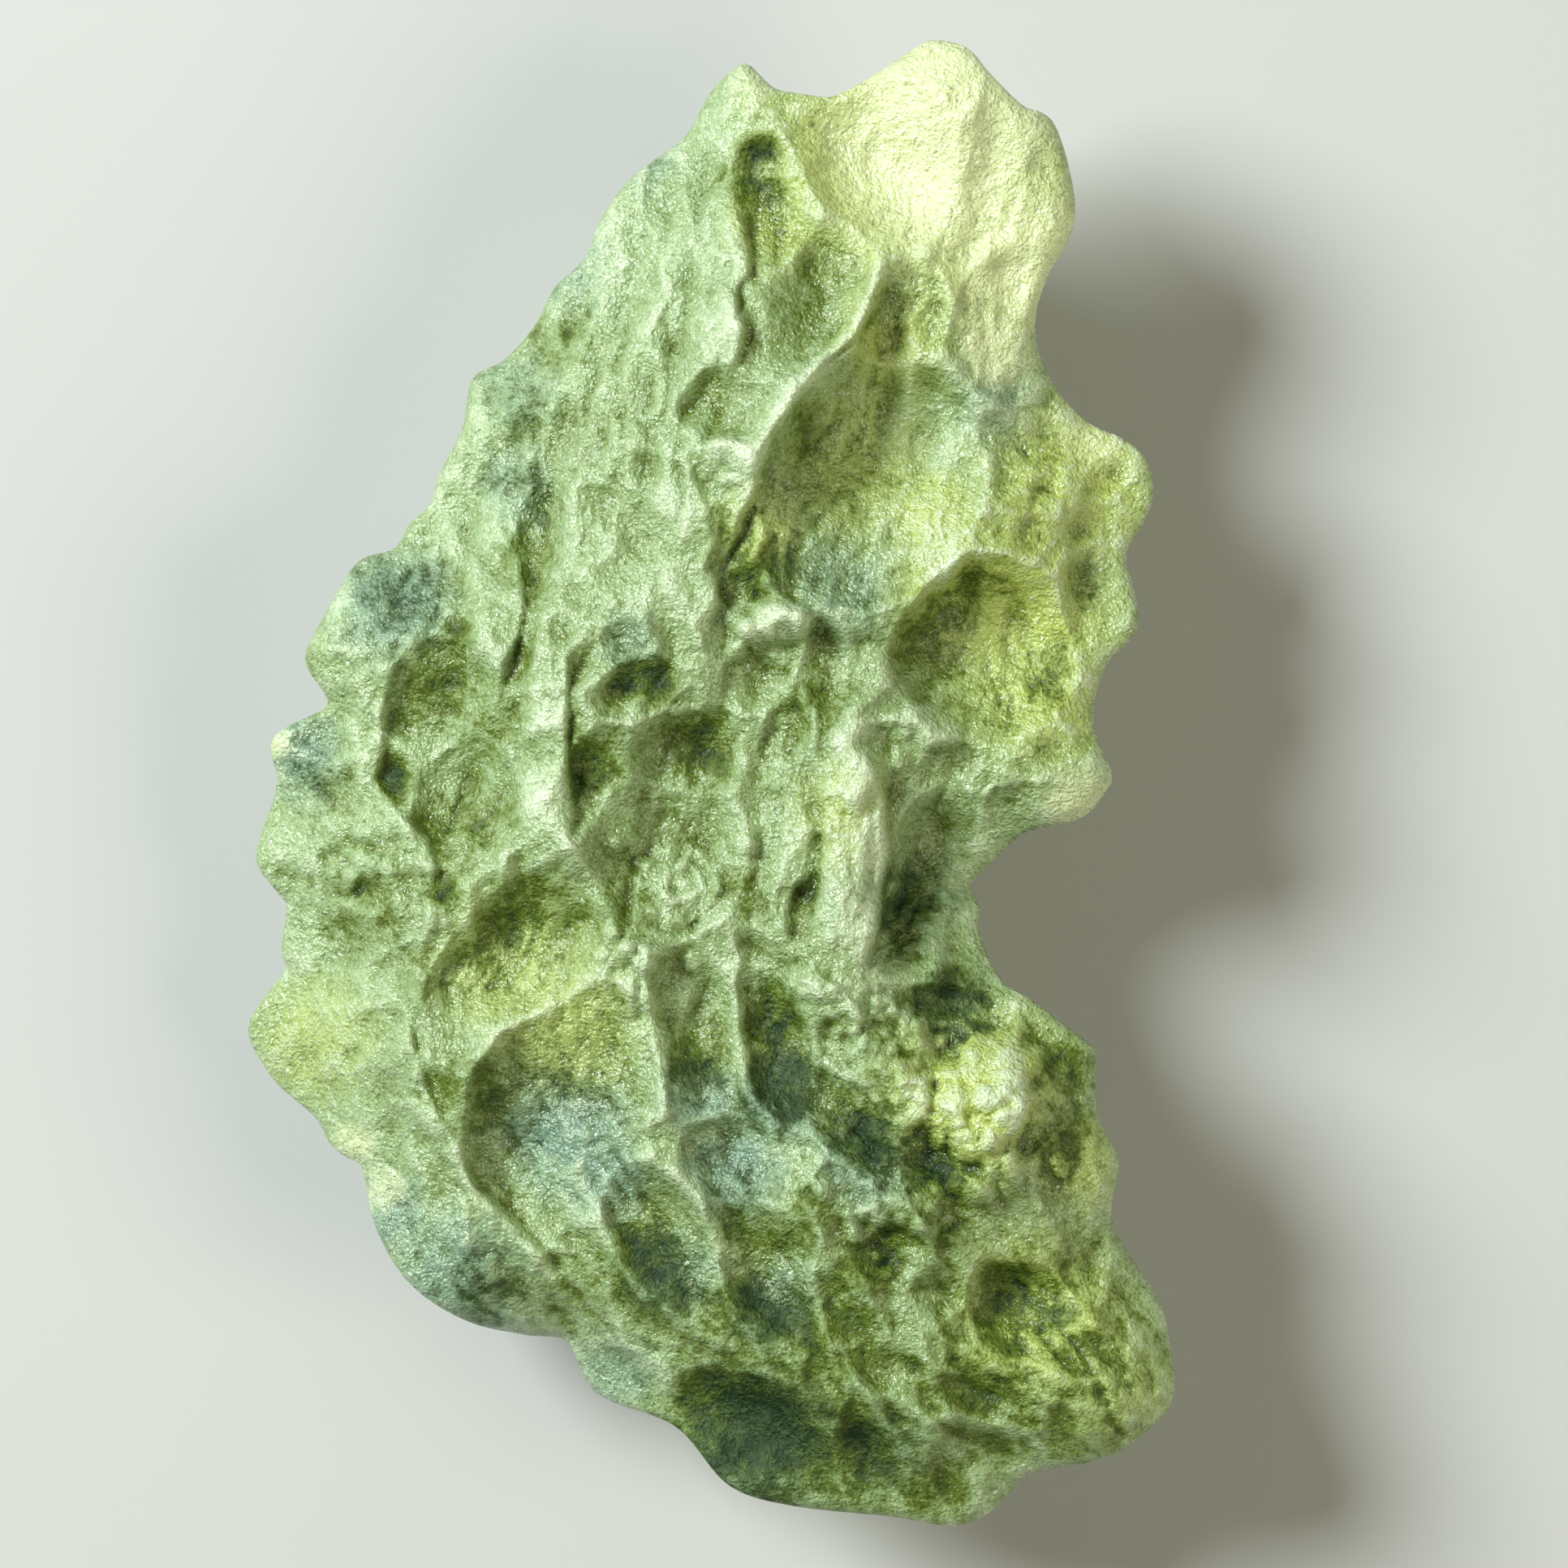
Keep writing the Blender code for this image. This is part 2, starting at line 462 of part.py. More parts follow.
def evaluated_mesh(source):
    """The object's mesh with its modifiers applied, in place of the object."""
    graph = bpy.context.evaluated_depsgraph_get()
    mesh = bpy.data.meshes.new_from_object(source.evaluated_get(graph))
    bpy.data.objects.remove(source)
    return mesh


def slab(loop, collection):
    """The outline as a thin slab, RIM_THICKNESS high, with a mesh of even squares."""
    curve = bpy.data.curves.new("outline", "CURVE")
    curve.dimensions = "2D"
    curve.fill_mode = "BOTH"
    curve.extrude = RIM_THICKNESS / 2
    spline = curve.splines.new("POLY")
    spline.points.add(len(loop) - 1)
    for point, (x, y) in zip(spline.points, loop):
        point.co = (x, y, 0, 1)
    spline.use_cyclic_u = True
    prism = bpy.data.objects.new("outline", curve)
    collection.objects.link(prism)
    mesh = evaluated_mesh(prism)
    bm = bmesh.new()
    bm.from_mesh(mesh)
    bmesh.ops.remove_doubles(bm, verts=bm.verts, dist=1e-5)
    bm.to_mesh(mesh)
    bm.free()
    blank = bpy.data.objects.new("blank", mesh)
    collection.objects.link(blank)
    remesh = blank.modifiers.new("even", "REMESH")
    remesh.mode = "VOXEL"
    remesh.voxel_size = VOXEL
    return evaluated_mesh(blank)


def sculpt(mesh, loop):
    """Spread the slab to the heights of the front and the back."""
    points = np.empty(len(mesh.vertices) * 3)
    mesh.vertices.foreach_get("co", points)
    points = points.reshape(-1, 3)
    front, back = front_and_back(points[:, :2], loop)
    share = np.clip(points[:, 2] / RIM_THICKNESS + 0.5, 0, 1)
    points[:, 2] = back + (front - back) * share
    mesh.vertices.foreach_set("co", points.ravel())
    mesh.update()


def thinned(mesh, collection):
    """The mesh with its triangles spent where the surface turns."""
    full = bpy.data.objects.new("full", mesh)
    collection.objects.link(full)
    thin = full.modifiers.new("thin", "DECIMATE")
    thin.ratio = TRIANGLES / (2 * len(mesh.polygons))
    thin.use_collapse_triangulate = True
    return evaluated_mesh(full)


def rest_on_flat(mesh):
    """Grind the lowest crests flat, so that the stone lies still, and set the origin there."""
    heights = [vertex.co.z for vertex in mesh.vertices]
    floor = min(heights) + REST_CUT
    bm = bmesh.new()
    bm.from_mesh(mesh)
    geometry = bm.verts[:] + bm.edges[:] + bm.faces[:]
    cut = bmesh.ops.bisect_plane(bm, geom=geometry, dist=1e-6, plane_co=(0, 0, floor),
                                 plane_no=(0, 0, -1), clear_outer=True)
    rim = [item for item in cut["geom_cut"] if isinstance(item, bmesh.types.BMEdge)]
    bmesh.ops.holes_fill(bm, edges=rim, sides=0)
    bmesh.ops.triangulate(bm, faces=bm.faces)
    bmesh.ops.recalc_face_normals(bm, faces=bm.faces)
    bm.to_mesh(mesh)
    bm.free()
    corners = np.array([vertex.co[:] for vertex in mesh.vertices])
    middle = (corners.min(axis=0) + corners.max(axis=0)) / 2
    mesh.transform(Matrix.Translation(Vector((-middle[0], -middle[1], -floor))))
    mesh.transform(Matrix.Scale(0.001, 4))


def green_glass():
    """The stone's own glass: green, see-through and dull with etching."""
    material = bpy.data.materials.new("moldavite_glass")
    material.use_nodes = True
    shader = material.node_tree.nodes["Principled BSDF"]
    shader.inputs["Base Color"].default_value = GLASS_COLOUR
    shader.inputs["Roughness"].default_value = GLASS_ROUGHNESS
    shader.inputs["Metallic"].default_value = 0.0
    shader.inputs["IOR"].default_value = GLASS_IOR
    shader.inputs["Transmission Weight"].default_value = 0.6
    return material


def make_moldavite(collection):
    loop = outline_loop(OUTLINE_STEPS)
    mesh = slab(loop, collection)
    sculpt(mesh, loop)
    mesh = thinned(mesh, collection)
    rest_on_flat(mesh)
    mesh.name = "moldavite"
    mesh.materials.clear()
    mesh.materials.append(green_glass())
    stone = bpy.data.objects.new("moldavite", mesh)
    collection.objects.link(stone)
    return stone


def main():
    for old in list(bpy.data.objects):
        bpy.data.objects.remove(old)
    collection = bpy.data.collections.new("moldavite")
    bpy.context.scene.collection.children.link(collection)
    make_moldavite(collection)


main()
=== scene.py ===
"""The looks of the moldavite: its etched surface as a fine mesh, and its green glass.

The stone is shaped as the solid is, in millimetres from the same named values, with a finer
mesh and finer etching, and is then set into the solid's box in metres. Columns and rows of
pixels place what was read from the picture. X runs right, Y up the length, Z to the viewer.
"""

import math

import bmesh
import bpy
import numpy as np
from mathutils import Matrix, Vector

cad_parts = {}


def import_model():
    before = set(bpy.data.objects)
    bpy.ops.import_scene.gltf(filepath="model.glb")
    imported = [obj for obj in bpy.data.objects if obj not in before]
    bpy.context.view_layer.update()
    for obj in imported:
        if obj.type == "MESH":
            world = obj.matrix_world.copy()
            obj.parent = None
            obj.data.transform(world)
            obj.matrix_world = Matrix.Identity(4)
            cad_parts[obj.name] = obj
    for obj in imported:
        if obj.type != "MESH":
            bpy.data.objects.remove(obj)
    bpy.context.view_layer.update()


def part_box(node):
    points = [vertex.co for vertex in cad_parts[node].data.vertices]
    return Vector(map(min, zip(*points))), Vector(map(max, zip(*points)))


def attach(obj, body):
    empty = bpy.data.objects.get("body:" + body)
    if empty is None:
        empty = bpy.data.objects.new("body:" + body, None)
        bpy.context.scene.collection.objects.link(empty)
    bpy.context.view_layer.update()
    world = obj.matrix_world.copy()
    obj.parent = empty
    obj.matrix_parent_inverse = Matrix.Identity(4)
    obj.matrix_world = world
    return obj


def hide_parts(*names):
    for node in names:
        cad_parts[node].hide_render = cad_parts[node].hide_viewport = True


# Driving dimensions in millimetres, as in the solid
LENGTH = 30.0
FRONT_RISE = 2.2
BACK_DROP = 4.0
RIM_THICKNESS = 0.44

# The picture's rows of the highest and lowest tip, and the pixel at the middle of the outline
TIP_ROW = 55
FOOT_ROW = 1877
MIDDLE_PIXEL = (872, 966)
PIXEL = LENGTH / (FOOT_ROW - TIP_ROW)

# How each face grows from the rim: how far in it is full, and how much steeper it starts
FRONT_DOME = (4.8, 1.4)
BACK_DOME = (4.4, 1.7)
# Over what width the relief fades out towards the rim, and the width of a step's own face
RELIEF_FADE = 0.55
STEP_WIDTH = 0.06
LEAST_THICKNESS = 0.36
# The steepness and the size of the hollows and lobes below are raised by these factors
HOLLOW_GAIN = 1.05
HOLLOW_REACH = 1.12
LOBE_GAIN = 1.05
LOBE_REACH = 1.10
# How much steeper the front's hollows are at their upper left than at their lower right, and
# the least share of its depth that any side of a hollow keeps
HOLLOW_LEAN = 0.65
LEAST_TILT = 0.2
# The rim's plane climbs towards +X by this slope, while the middle of the back stays level
LEAN = 0.12

# Fineness of this mesh, and the half size of its relief maps, in mm
OUTLINE_STEPS = 6
VOXEL = 0.062
RELIEF_CELL = 0.035
MAP_HALF = (11.0, 16.5)
TRIANGLES = 192000
SEED = 11
# The rim is rounded over this width, down to this share of its thickness
RIM_ROUNDING = 0.30
RIM_SHARE = 0.30

# Outline, clockwise from the horn at the upper left, in pixels
OUTLINE = [
    (922, 81), (941, 99), (958, 113), (999, 121), (1025, 123), (1060, 107), (1101, 81),
    (1137, 58), (1157, 55), (1191, 66), (1219, 99), (1257, 137), (1280, 145), (1298, 162),
    (1314, 209), (1323, 265), (1313, 303), (1291, 341), (1275, 390), (1279, 436), (1303, 482),
    (1342, 522), (1380, 540), (1410, 565), (1420, 604), (1410, 642), (1387, 683), (1395, 724),
    (1400, 775), (1362, 820), (1347, 864), (1347, 902), (1367, 951), (1361, 973), (1329, 1008),
    (1265, 1024), (1237, 1047), (1202, 1081), (1196, 1093), (1208, 1121), (1204, 1137),
    (1216, 1175), (1237, 1210), (1268, 1229), (1339, 1283), (1348, 1295), (1350, 1369),
    (1371, 1413), (1376, 1438), (1367, 1497), (1395, 1550), (1429, 1604), (1439, 1649),
    (1445, 1703), (1431, 1738), (1367, 1788), (1267, 1813), (1242, 1840), (1212, 1865),
    (1173, 1877), (1098, 1865), (979, 1853), (899, 1828), (834, 1758), (750, 1728),
    (720, 1703), (698, 1655), (647, 1647), (575, 1628), (506, 1582), (464, 1517), (448, 1456),
    (441, 1435), (422, 1427), (402, 1410), (383, 1379), (330, 1333), (299, 1272), (330, 1218),
    (347, 1195), (342, 1170), (349, 1118), (338, 1101), (311, 1055), (337, 971), (331, 921),
    (346, 898), (399, 872), (400, 856), (375, 811), (399, 757), (438, 692), (484, 674),
    (503, 643), (528, 618), (541, 580), (569, 523), (581, 464), (622, 440), (660, 397),
    (683, 354), (721, 317), (742, 267), (780, 216), (844, 168), (874, 117), (905, 86),
]

# Broad swells and sags of the whole stone: x, y, radius in pixels, front and back in mm
SWELLS = [
    (1150, 230, 230, -0.75, 0.65),
    (1340, 660, 150, -0.35, 0.40),
    (900, 950, 190, -0.55, 0.20),
    (860, 420, 170, 0.55, 0.00),
    (700, 820, 170, 0.35, 0.00),
    (470, 1180, 190, 0.25, 0.30),
    (1010, 1120, 130, 0.35, 0.00),
    (1200, 1380, 150, 0.55, -0.10),
    (700, 1560, 170, 0.15, -0.20),
    (1230, 1680, 190, -0.10, 0.25),
    (1010, 800, 140, 0.00, -0.25),
    (1060, 1180, 110, 0.00, -0.35),
]

# Where the rim lies higher or lower than its plane: x, y, radius in pixels, lift in mm
BENDS = [
    (1180, 120, 260, 0.75), (880, 120, 120, -0.35), (1400, 620, 150, -0.55),
    (1340, 980, 110, 0.50), (1190, 1110, 110, -0.35), (1340, 1330, 130, 0.40),
    (1440, 1700, 220, -0.55), (1120, 1880, 200, 0.45), (760, 1720, 160, -0.30),
    (520, 1560, 170, 0.50), (310, 1280, 150, -0.60), (400, 860, 130, 0.45),
    (320, 1020, 90, -0.30), (580, 500, 170, -0.45), (740, 280, 130, 0.30),
]
# Plane waves that ripple the rim further: how many, wavelength range and height in mm
RIPPLES = 9
RIPPLE_WAVELENGTHS = (3.2, 8.0)
RIPPLE_HEIGHT = 0.10

# Hollows of the front: x, y, half length, half width in pixels, turn in degrees, and steepness,
# which is the depth over the half width
FRONT_HOLLOWS = [
    # upper right lobe
    (1080, 205, 128, 88, -55, 0.50), (1205, 262, 128, 60, 82, 0.42), (1228, 375, 75, 52, 80, 0.40),
    (1272, 225, 60, 34, 85, 0.35), (1135, 92, 52, 30, 25, 0.35), (1238, 158, 48, 30, -48, 0.40),
    (1000, 143, 46, 26, -10, 0.50),
    # below the horn
    (944, 222, 52, 36, 85, 0.55), (966, 292, 84, 44, -72, 0.62), (1000, 372, 102, 62, 58, 0.66),
    (935, 420, 62, 30, 85, 0.60), (938, 187, 18, 12, -60, 0.70),
    # the deep teardrop
    (1070, 602, 168, 130, 70, 0.62), (1108, 440, 118, 58, 78, 0.60),
    # right side
    (1292, 548, 98, 36, -8, 0.40), (1372, 592, 44, 32, 60, 0.40), (1350, 655, 52, 36, 30, 0.40),
    (1256, 655, 62, 32, 5, 0.45), (1338, 742, 78, 48, 75, 0.55), (1212, 812, 128, 104, 75, 0.52),
    (1276, 925, 62, 34, 5, 0.50), (1335, 905, 34, 30, 60, 0.40), (1178, 948, 66, 40, 35, 0.50),
    (1150, 1045, 84, 46, 65, 0.50), (1125, 1142, 62, 44, 80, 0.50), (1255, 985, 46, 24, 15, 0.40),
    # middle
    (900, 492, 58, 46, 10, 0.50), (1022, 818, 56, 34, 80, 0.60), (932, 648, 84, 32, 50, 0.60),
    (936, 722, 48, 40, 10, 0.45), (942, 822, 62, 38, 40, 0.45), (792, 852, 60, 36, 25, 0.60),
    (846, 932, 80, 58, 30, 0.60), (962, 905, 72, 30, 55, 0.55), (812, 1062, 112, 98, 70, 0.52),
    (738, 985, 66, 44, 75, 0.60), (922, 1062, 84, 22, 88, 0.50), (990, 1120, 66, 18, 80, 0.60),
    (1098, 925, 46, 30, -20, 0.40), (940, 1175, 48, 24, -40, 0.60),
    # left side
    (668, 690, 124, 28, 88, 0.55), (562, 768, 34, 24, 80, 0.45), (545, 862, 84, 60, 84, 0.50),
    (578, 985, 84, 62, 82, 0.50), (500, 962, 34, 26, 70, 0.60), (498, 740, 72, 48, 30, 0.32),
    (410, 815, 40, 32, 20, 0.30), (398, 935, 74, 46, 85, 0.36), (440, 1062, 50, 34, 40, 0.36),
    (592, 1222, 104, 60, 74, 0.55), (668, 1165, 122, 82, 52, 0.55), (402, 1140, 60, 34, -20, 0.30),
    (560, 1080, 34, 20, 80, 0.60), (745, 520, 40, 15, 78, 0.50), (700, 560, 90, 30, 70, 0.30),
    (620, 560, 80, 28, 62, 0.35), (760, 400, 90, 30, 68, 0.25), (640, 820, 48, 24, 80, 0.60),
    (770, 800, 44, 30, 40, 0.50),
    # lower middle
    (702, 1368, 150, 112, 62, 0.52), (862, 1282, 118, 56, -76, 0.58), (968, 1302, 132, 44, -72, 0.58),
    (1032, 1292, 46, 24, -62, 0.60), (1180, 1238, 84, 30, -8, 0.55), (820, 1396, 34, 24, -60, 0.50),
    # the row of bowls
    (906, 1430, 70, 56, -52, 0.58), (984, 1420, 38, 30, -40, 0.50), (1060, 1402, 98, 46, -48, 0.60),
    (1152, 1444, 76, 52, -48, 0.50), (820, 1524, 110, 56, -56, 0.64), (938, 1568, 106, 54, -62, 0.64),
    (1084, 1540, 62, 42, -48, 0.65), (1140, 1592, 46, 32, -40, 0.50), (1252, 1610, 78, 60, -28, 0.58),
    (1040, 1472, 48, 28, -30, 0.50), (1190, 1502, 62, 32, -5, 0.50), (1318, 1450, 54, 40, 85, 0.45),
    # lower slope
    (1332, 1664, 66, 38, -18, 0.45), (1042, 1622, 78, 30, -58, 0.55), (1216, 1722, 66, 34, -12, 0.50),
    (1102, 1694, 84, 28, -34, 0.50), (1232, 1790, 78, 36, -18, 0.45), (1082, 1804, 84, 42, -62, 0.42),
    (930, 1762, 116, 66, -22, 0.45), (722, 1540, 70, 24, -60, 0.50), (610, 1445, 84, 30, -78, 0.50),
    (630, 1580, 76, 26, -52, 0.45), (520, 1540, 92, 42, -58, 0.32), (762, 1700, 64, 38, -26, 0.36),
    (548, 1452, 84, 26, -55, 0.35), (1384, 1602, 66, 28, -68, 0.40), (1300, 1312, 82, 38, -58, 0.45),
    (800, 1620, 84, 26, -48, 0.50), (700, 1620, 60, 30, -40, 0.32),
]

# Lobes and tongues that stand up from the front, in the same terms
FRONT_LOBES = [
    (905, 140, 70, 30, 70, 0.40), (895, 285, 42, 27, 85, 0.42), (906, 335, 30, 18, 85, 0.42),
    (888, 405, 52, 24, 85, 0.42), (900, 562, 46, 34, 15, 0.34), (850, 700, 160, 36, -80, 0.42),
    (672, 905, 146, 27, 88, 0.42), (742, 862, 60, 20, 84, 0.42), (600, 712, 96, 34, 80, 0.34),
    (962, 772, 46, 26, 0, 0.42), (965, 1035, 96, 20, 84, 0.45), (1046, 1050, 172, 46, 88, 0.55),
    (830, 1085, 58, 50, 40, 0.42), (795, 1175, 60, 34, -50, 0.38), (1130, 905, 46, 30, -10, 0.42),
    (1222, 1352, 86, 74, 20, 0.48), (1020, 1232, 60, 40, -50, 0.34), (840, 1215, 30, 22, 60, 0.42),
    (1100, 1330, 70, 34, -40, 0.38), (700, 1420, 80, 50, 40, 0.24), (446, 1058, 26, 20, 0, 0.40),
    (545, 1120, 24, 20, 0, 0.40), (1316, 992, 48, 22, 10, 0.45), (1120, 1560, 34, 20, -20, 0.42),
]

# Lines of the front: the height of the step across it and of the ridge along it in mm,
# its width in pixels, and its points. Read downwards, the step's low side is on the right.
CREST_LINES = [
    (0.16, 0.04, 22, [(486, 815), (484, 870), (488, 930), (472, 960), (500, 1000), (535, 1022),
                      (552, 1060), (566, 1102)]),
    (0.14, 0.04, 24, [(484, 1205), (500, 1250), (512, 1300), (530, 1345), (565, 1400), (588, 1455),
                      (645, 1505), (700, 1580)]),
    (0.09, 0.03, 20, [(462, 1436), (505, 1478), (532, 1535), (560, 1590), (612, 1632)]),
    (0.10, 0.04, 20, [(560, 1400), (602, 1470), (660, 1530), (702, 1590), (762, 1650), (846, 1690)]),
    (0.14, 0.05, 18, [(605, 640), (638, 698), (641, 750), (626, 800), (600, 832)]),
    (0.22, 0.04, 18, [(698, 778), (706, 850), (706, 930), (704, 1000), (696, 1046)]),
    (0.20, 0.04, 18, [(914, 262), (927, 300), (922, 336), (904, 353), (905, 386), (915, 410),
                      (910, 440), (898, 464)]),
    (0.20, 0.06, 22, [(1098, 318), (1082, 376), (1046, 414), (1008, 442), (974, 480), (950, 530),
                      (942, 590)]),
    (0.14, 0.03, 16, [(860, 546), (896, 536), (932, 548)]),
    (0.18, 0.03, 18, [(932, 548), (936, 592), (906, 650), (892, 700), (880, 760), (870, 806)]),
    (0.00, 0.14, 13, [(938, 196), (962, 226), (992, 270), (1050, 308), (1108, 320)]),
    (0.00, 0.14, 15, [(1106, 318), (1124, 370), (1142, 430), (1200, 478), (1240, 512), (1290, 542)]),
    (0.10, 0.08, 18, [(1196, 690), (1140, 736), (1070, 770), (1014, 764), (986, 716)]),
    (0.20, 0.05, 20, [(1056, 920), (1090, 990), (1087, 1080), (1078, 1150), (1074, 1206)]),
    (0.14, 0.04, 16, [(1012, 1160), (1000, 1090), (1004, 1010), (998, 940)]),
    (0.12, 0.05, 18, [(800, 1200), (826, 1270), (832, 1330), (840, 1380)]),
    (0.10, 0.05, 16, [(905, 1200), (922, 1270), (935, 1330), (962, 1390)]),
    (0.00, 0.10, 12, [(780, 1590), (860, 1640), (960, 1700), (1030, 1770), (1066, 1836)]),
    (0.00, 0.09, 12, [(864, 1596), (930, 1640), (1010, 1682), (1100, 1722), (1160, 1772),
                      (1196, 1850)]),
    (0.06, 0.05, 14, [(1180, 1660), (1260, 1690), (1330, 1690), (1400, 1668)]),
    (0.06, 0.05, 14, [(1160, 1730), (1240, 1760), (1330, 1752), (1400, 1720)]),
    (0.10, 0.05, 16, [(1262, 1230), (1246, 1290), (1262, 1350), (1250, 1420), (1266, 1480)]),
    (0.00, 0.08, 10, [(700, 560), (716, 620), (712, 690), (736, 760)]),
    (0.00, 0.07, 10, [(800, 620), (806, 690), (800, 760), (812, 820)]),
    (0.00, 0.08, 11, [(744, 400), (752, 470), (770, 540), (762, 610)]),
    (0.00, 0.08, 11, [(680, 420), (690, 480), (676, 545), (690, 600)]),
    (0.00, 0.07, 10, [(800, 270), (812, 340), (806, 420), (822, 490)]),
    (0.00, 0.09, 12, [(581, 470), (606, 540), (592, 600)]),
    (0.00, 0.08, 12, [(440, 700), (500, 716), (552, 700), (560, 650)]),
    (0.00, 0.08, 12, [(392, 800), (440, 798), (486, 812)]),
    (0.00, 0.08, 12, [(340, 912), (372, 940), (420, 950), (440, 1000)]),
    (0.00, 0.08, 12, [(322, 1050), (372, 1060), (420, 1100), (470, 1140)]),
    (0.00, 0.08, 12, [(346, 1176), (396, 1190), (446, 1206), (486, 1206)]),
]

# Scattered hollows: spacing, half length and half width in mm, and steepness
BACK_SCATTER = [(2.9, 2.3, 1.6, 0.50), (1.3, 0.95, 0.62, 0.48)]
FRONT_SCATTER = [(1.15, 0.80, 0.46, 0.34)]
# The furrows lead outwards from this pixel
FLOW_PIXEL = (900, 900)
# How a scattered hollow varies: place in spacings, size and steepness, and turn in radians
STRAY = 0.45
SIZE_FACTORS = (0.75, 1.35)
STEEPNESS_FACTORS = (0.6, 1.2)
TURN_SPREAD = 0.35

# The flutes of the back's flanks: lattice cell in mm, and share of the depth
FLUTES = [(1.9, 0.38), (0.8, 0.16)]

# The wander of every crest: lattice cell and reach, in mm
WANDER = [(2.2, 0.20), (0.8, 0.09)]

# Sharp-crested wrinkles: size across and height in mm, and how much longer they run
WRINKLES = [(1.10, 0.15), (0.55, 0.11)]
WRINKLE_STRETCH = 2.0
WRINKLE_LEVEL = 0.4
# The way they run in degrees: on the upper front, on the lower front and on the back
UPPER_LEAD = 80
LOWER_LEAD = -58
BACK_LEAD = 70
# The upper lead turns into the lower one between these rows
LEAD_ROWS = (1150, 1500)

# Finer etching, not in the solid. Scattered hollows are in the terms above.
FINE_SEED = 23
FINE_SCATTER = [(0.62, 0.44, 0.22, 0.16)]
FINE_BACK_SCATTER = [(0.70, 0.52, 0.30, 0.28)]
FINE_WANDER = [(0.9, 0.16), (0.4, 0.09), (0.2, 0.04)]
# Round lumps with sharp creases, of the front and the back: size across and height in mm
LUMPS = [(0.75, 0.16), (0.40, 0.17), (0.22, 0.09)]
BACK_LUMPS = [(0.75, 0.14), (0.40, 0.12)]

# Ribbed patches: x, y and radius in pixels, the middle that the ribs run round, and the ribs'
# spacing and height in mm. The level sets how much of a rib stands up.
RIBS = [
    (830, 1085, 80, (832, 1082), 0.40, 0.11), (1100, 160, 90, (1010, -260), 0.30, 0.04),
    (1290, 560, 100, (1500, -900), 0.24, 0.05), (1225, 840, 75, (-2000, 700), 0.26, 0.05),
    (1085, 1430, 60, (1250, 600), 0.22, 0.06), (1165, 1450, 50, (1300, 600), 0.22, 0.05),
    (600, 1220, 70, (-900, 700), 0.26, 0.05), (1125, 1150, 60, (1500, 2600), 0.30, 0.06),
    (1300, 1330, 70, (2400, 600), 0.24, 0.04), (1080, 560, 110, (1320, 250), 0.20, 0.03),
    (760, 1380, 90, (700, 1180), 0.34, 0.05), (1210, 1700, 150, (1500, 900), 0.50, 0.06),
    (950, 1080, 70, (-2500, 1100), 0.36, 0.08),
]
RIB_LEVEL = 0.6

# Clusters of beads: x, y and radius in pixels, how many, and the beads' radius in mm
BEADS = [
    (1130, 1330, 95, 70, (0.12, 0.22)), (1060, 1260, 60, 30, (0.12, 0.20)),
    (830, 1100, 60, 8, (0.16, 0.30)), (1210, 1370, 80, 24, (0.25, 0.45)),
    (960, 770, 50, 14, (0.20, 0.34)), (780, 1180, 50, 14, (0.14, 0.28)),
    (446, 1058, 30, 6, (0.20, 0.40)), (1090, 1480, 70, 18, (0.16, 0.28)),
    (1400, 1720, 60, 14, (0.12, 0.20)),
]
# How steep the beads are, and how far they lie apart as a share of the cluster's radius
BEAD_STEEPNESS = 0.7
BEAD_SPREAD = 0.55

# Where the lumps stand at their full height: x, y, radius in pixels, and how much. Elsewhere
# they have this share of it.
LEAST_LUMPS = 0.45
LUMPY = [
    (700, 1400, 110, 1.0), (745, 1470, 60, 0.8), (906, 1440, 60, 1.0), (830, 1085, 85, 1.0),
    (1120, 1330, 120, 1.0), (1050, 1490, 80, 0.9), (1160, 1500, 80, 0.9), (960, 760, 60, 0.9),
    (880, 700, 60, 0.7), (790, 820, 70, 0.7), (1040, 1050, 90, 0.5), (1010, 1240, 60, 0.9),
    (1120, 1120, 60, 0.8), (1110, 910, 60, 0.9), (790, 1190, 60, 1.0), (690, 820, 80, 0.6),
    (600, 900, 90, 0.5), (450, 1090, 70, 0.8), (1220, 1370, 80, 0.7), (1400, 1710, 60, 0.8),
    (900, 340, 50, 0.5), (870, 620, 60, 0.6), (1250, 1500, 70, 0.6), (640, 1560, 80, 0.4),
    (560, 1200, 50, 0.8), (1300, 660, 60, 0.4), (500, 760, 60, 0.4), (1180, 980, 60, 0.6),
    (750, 480, 130, 0.6), (650, 600, 90, 0.6), (860, 500, 60, 0.6), (1000, 900, 60, 0.6),
]

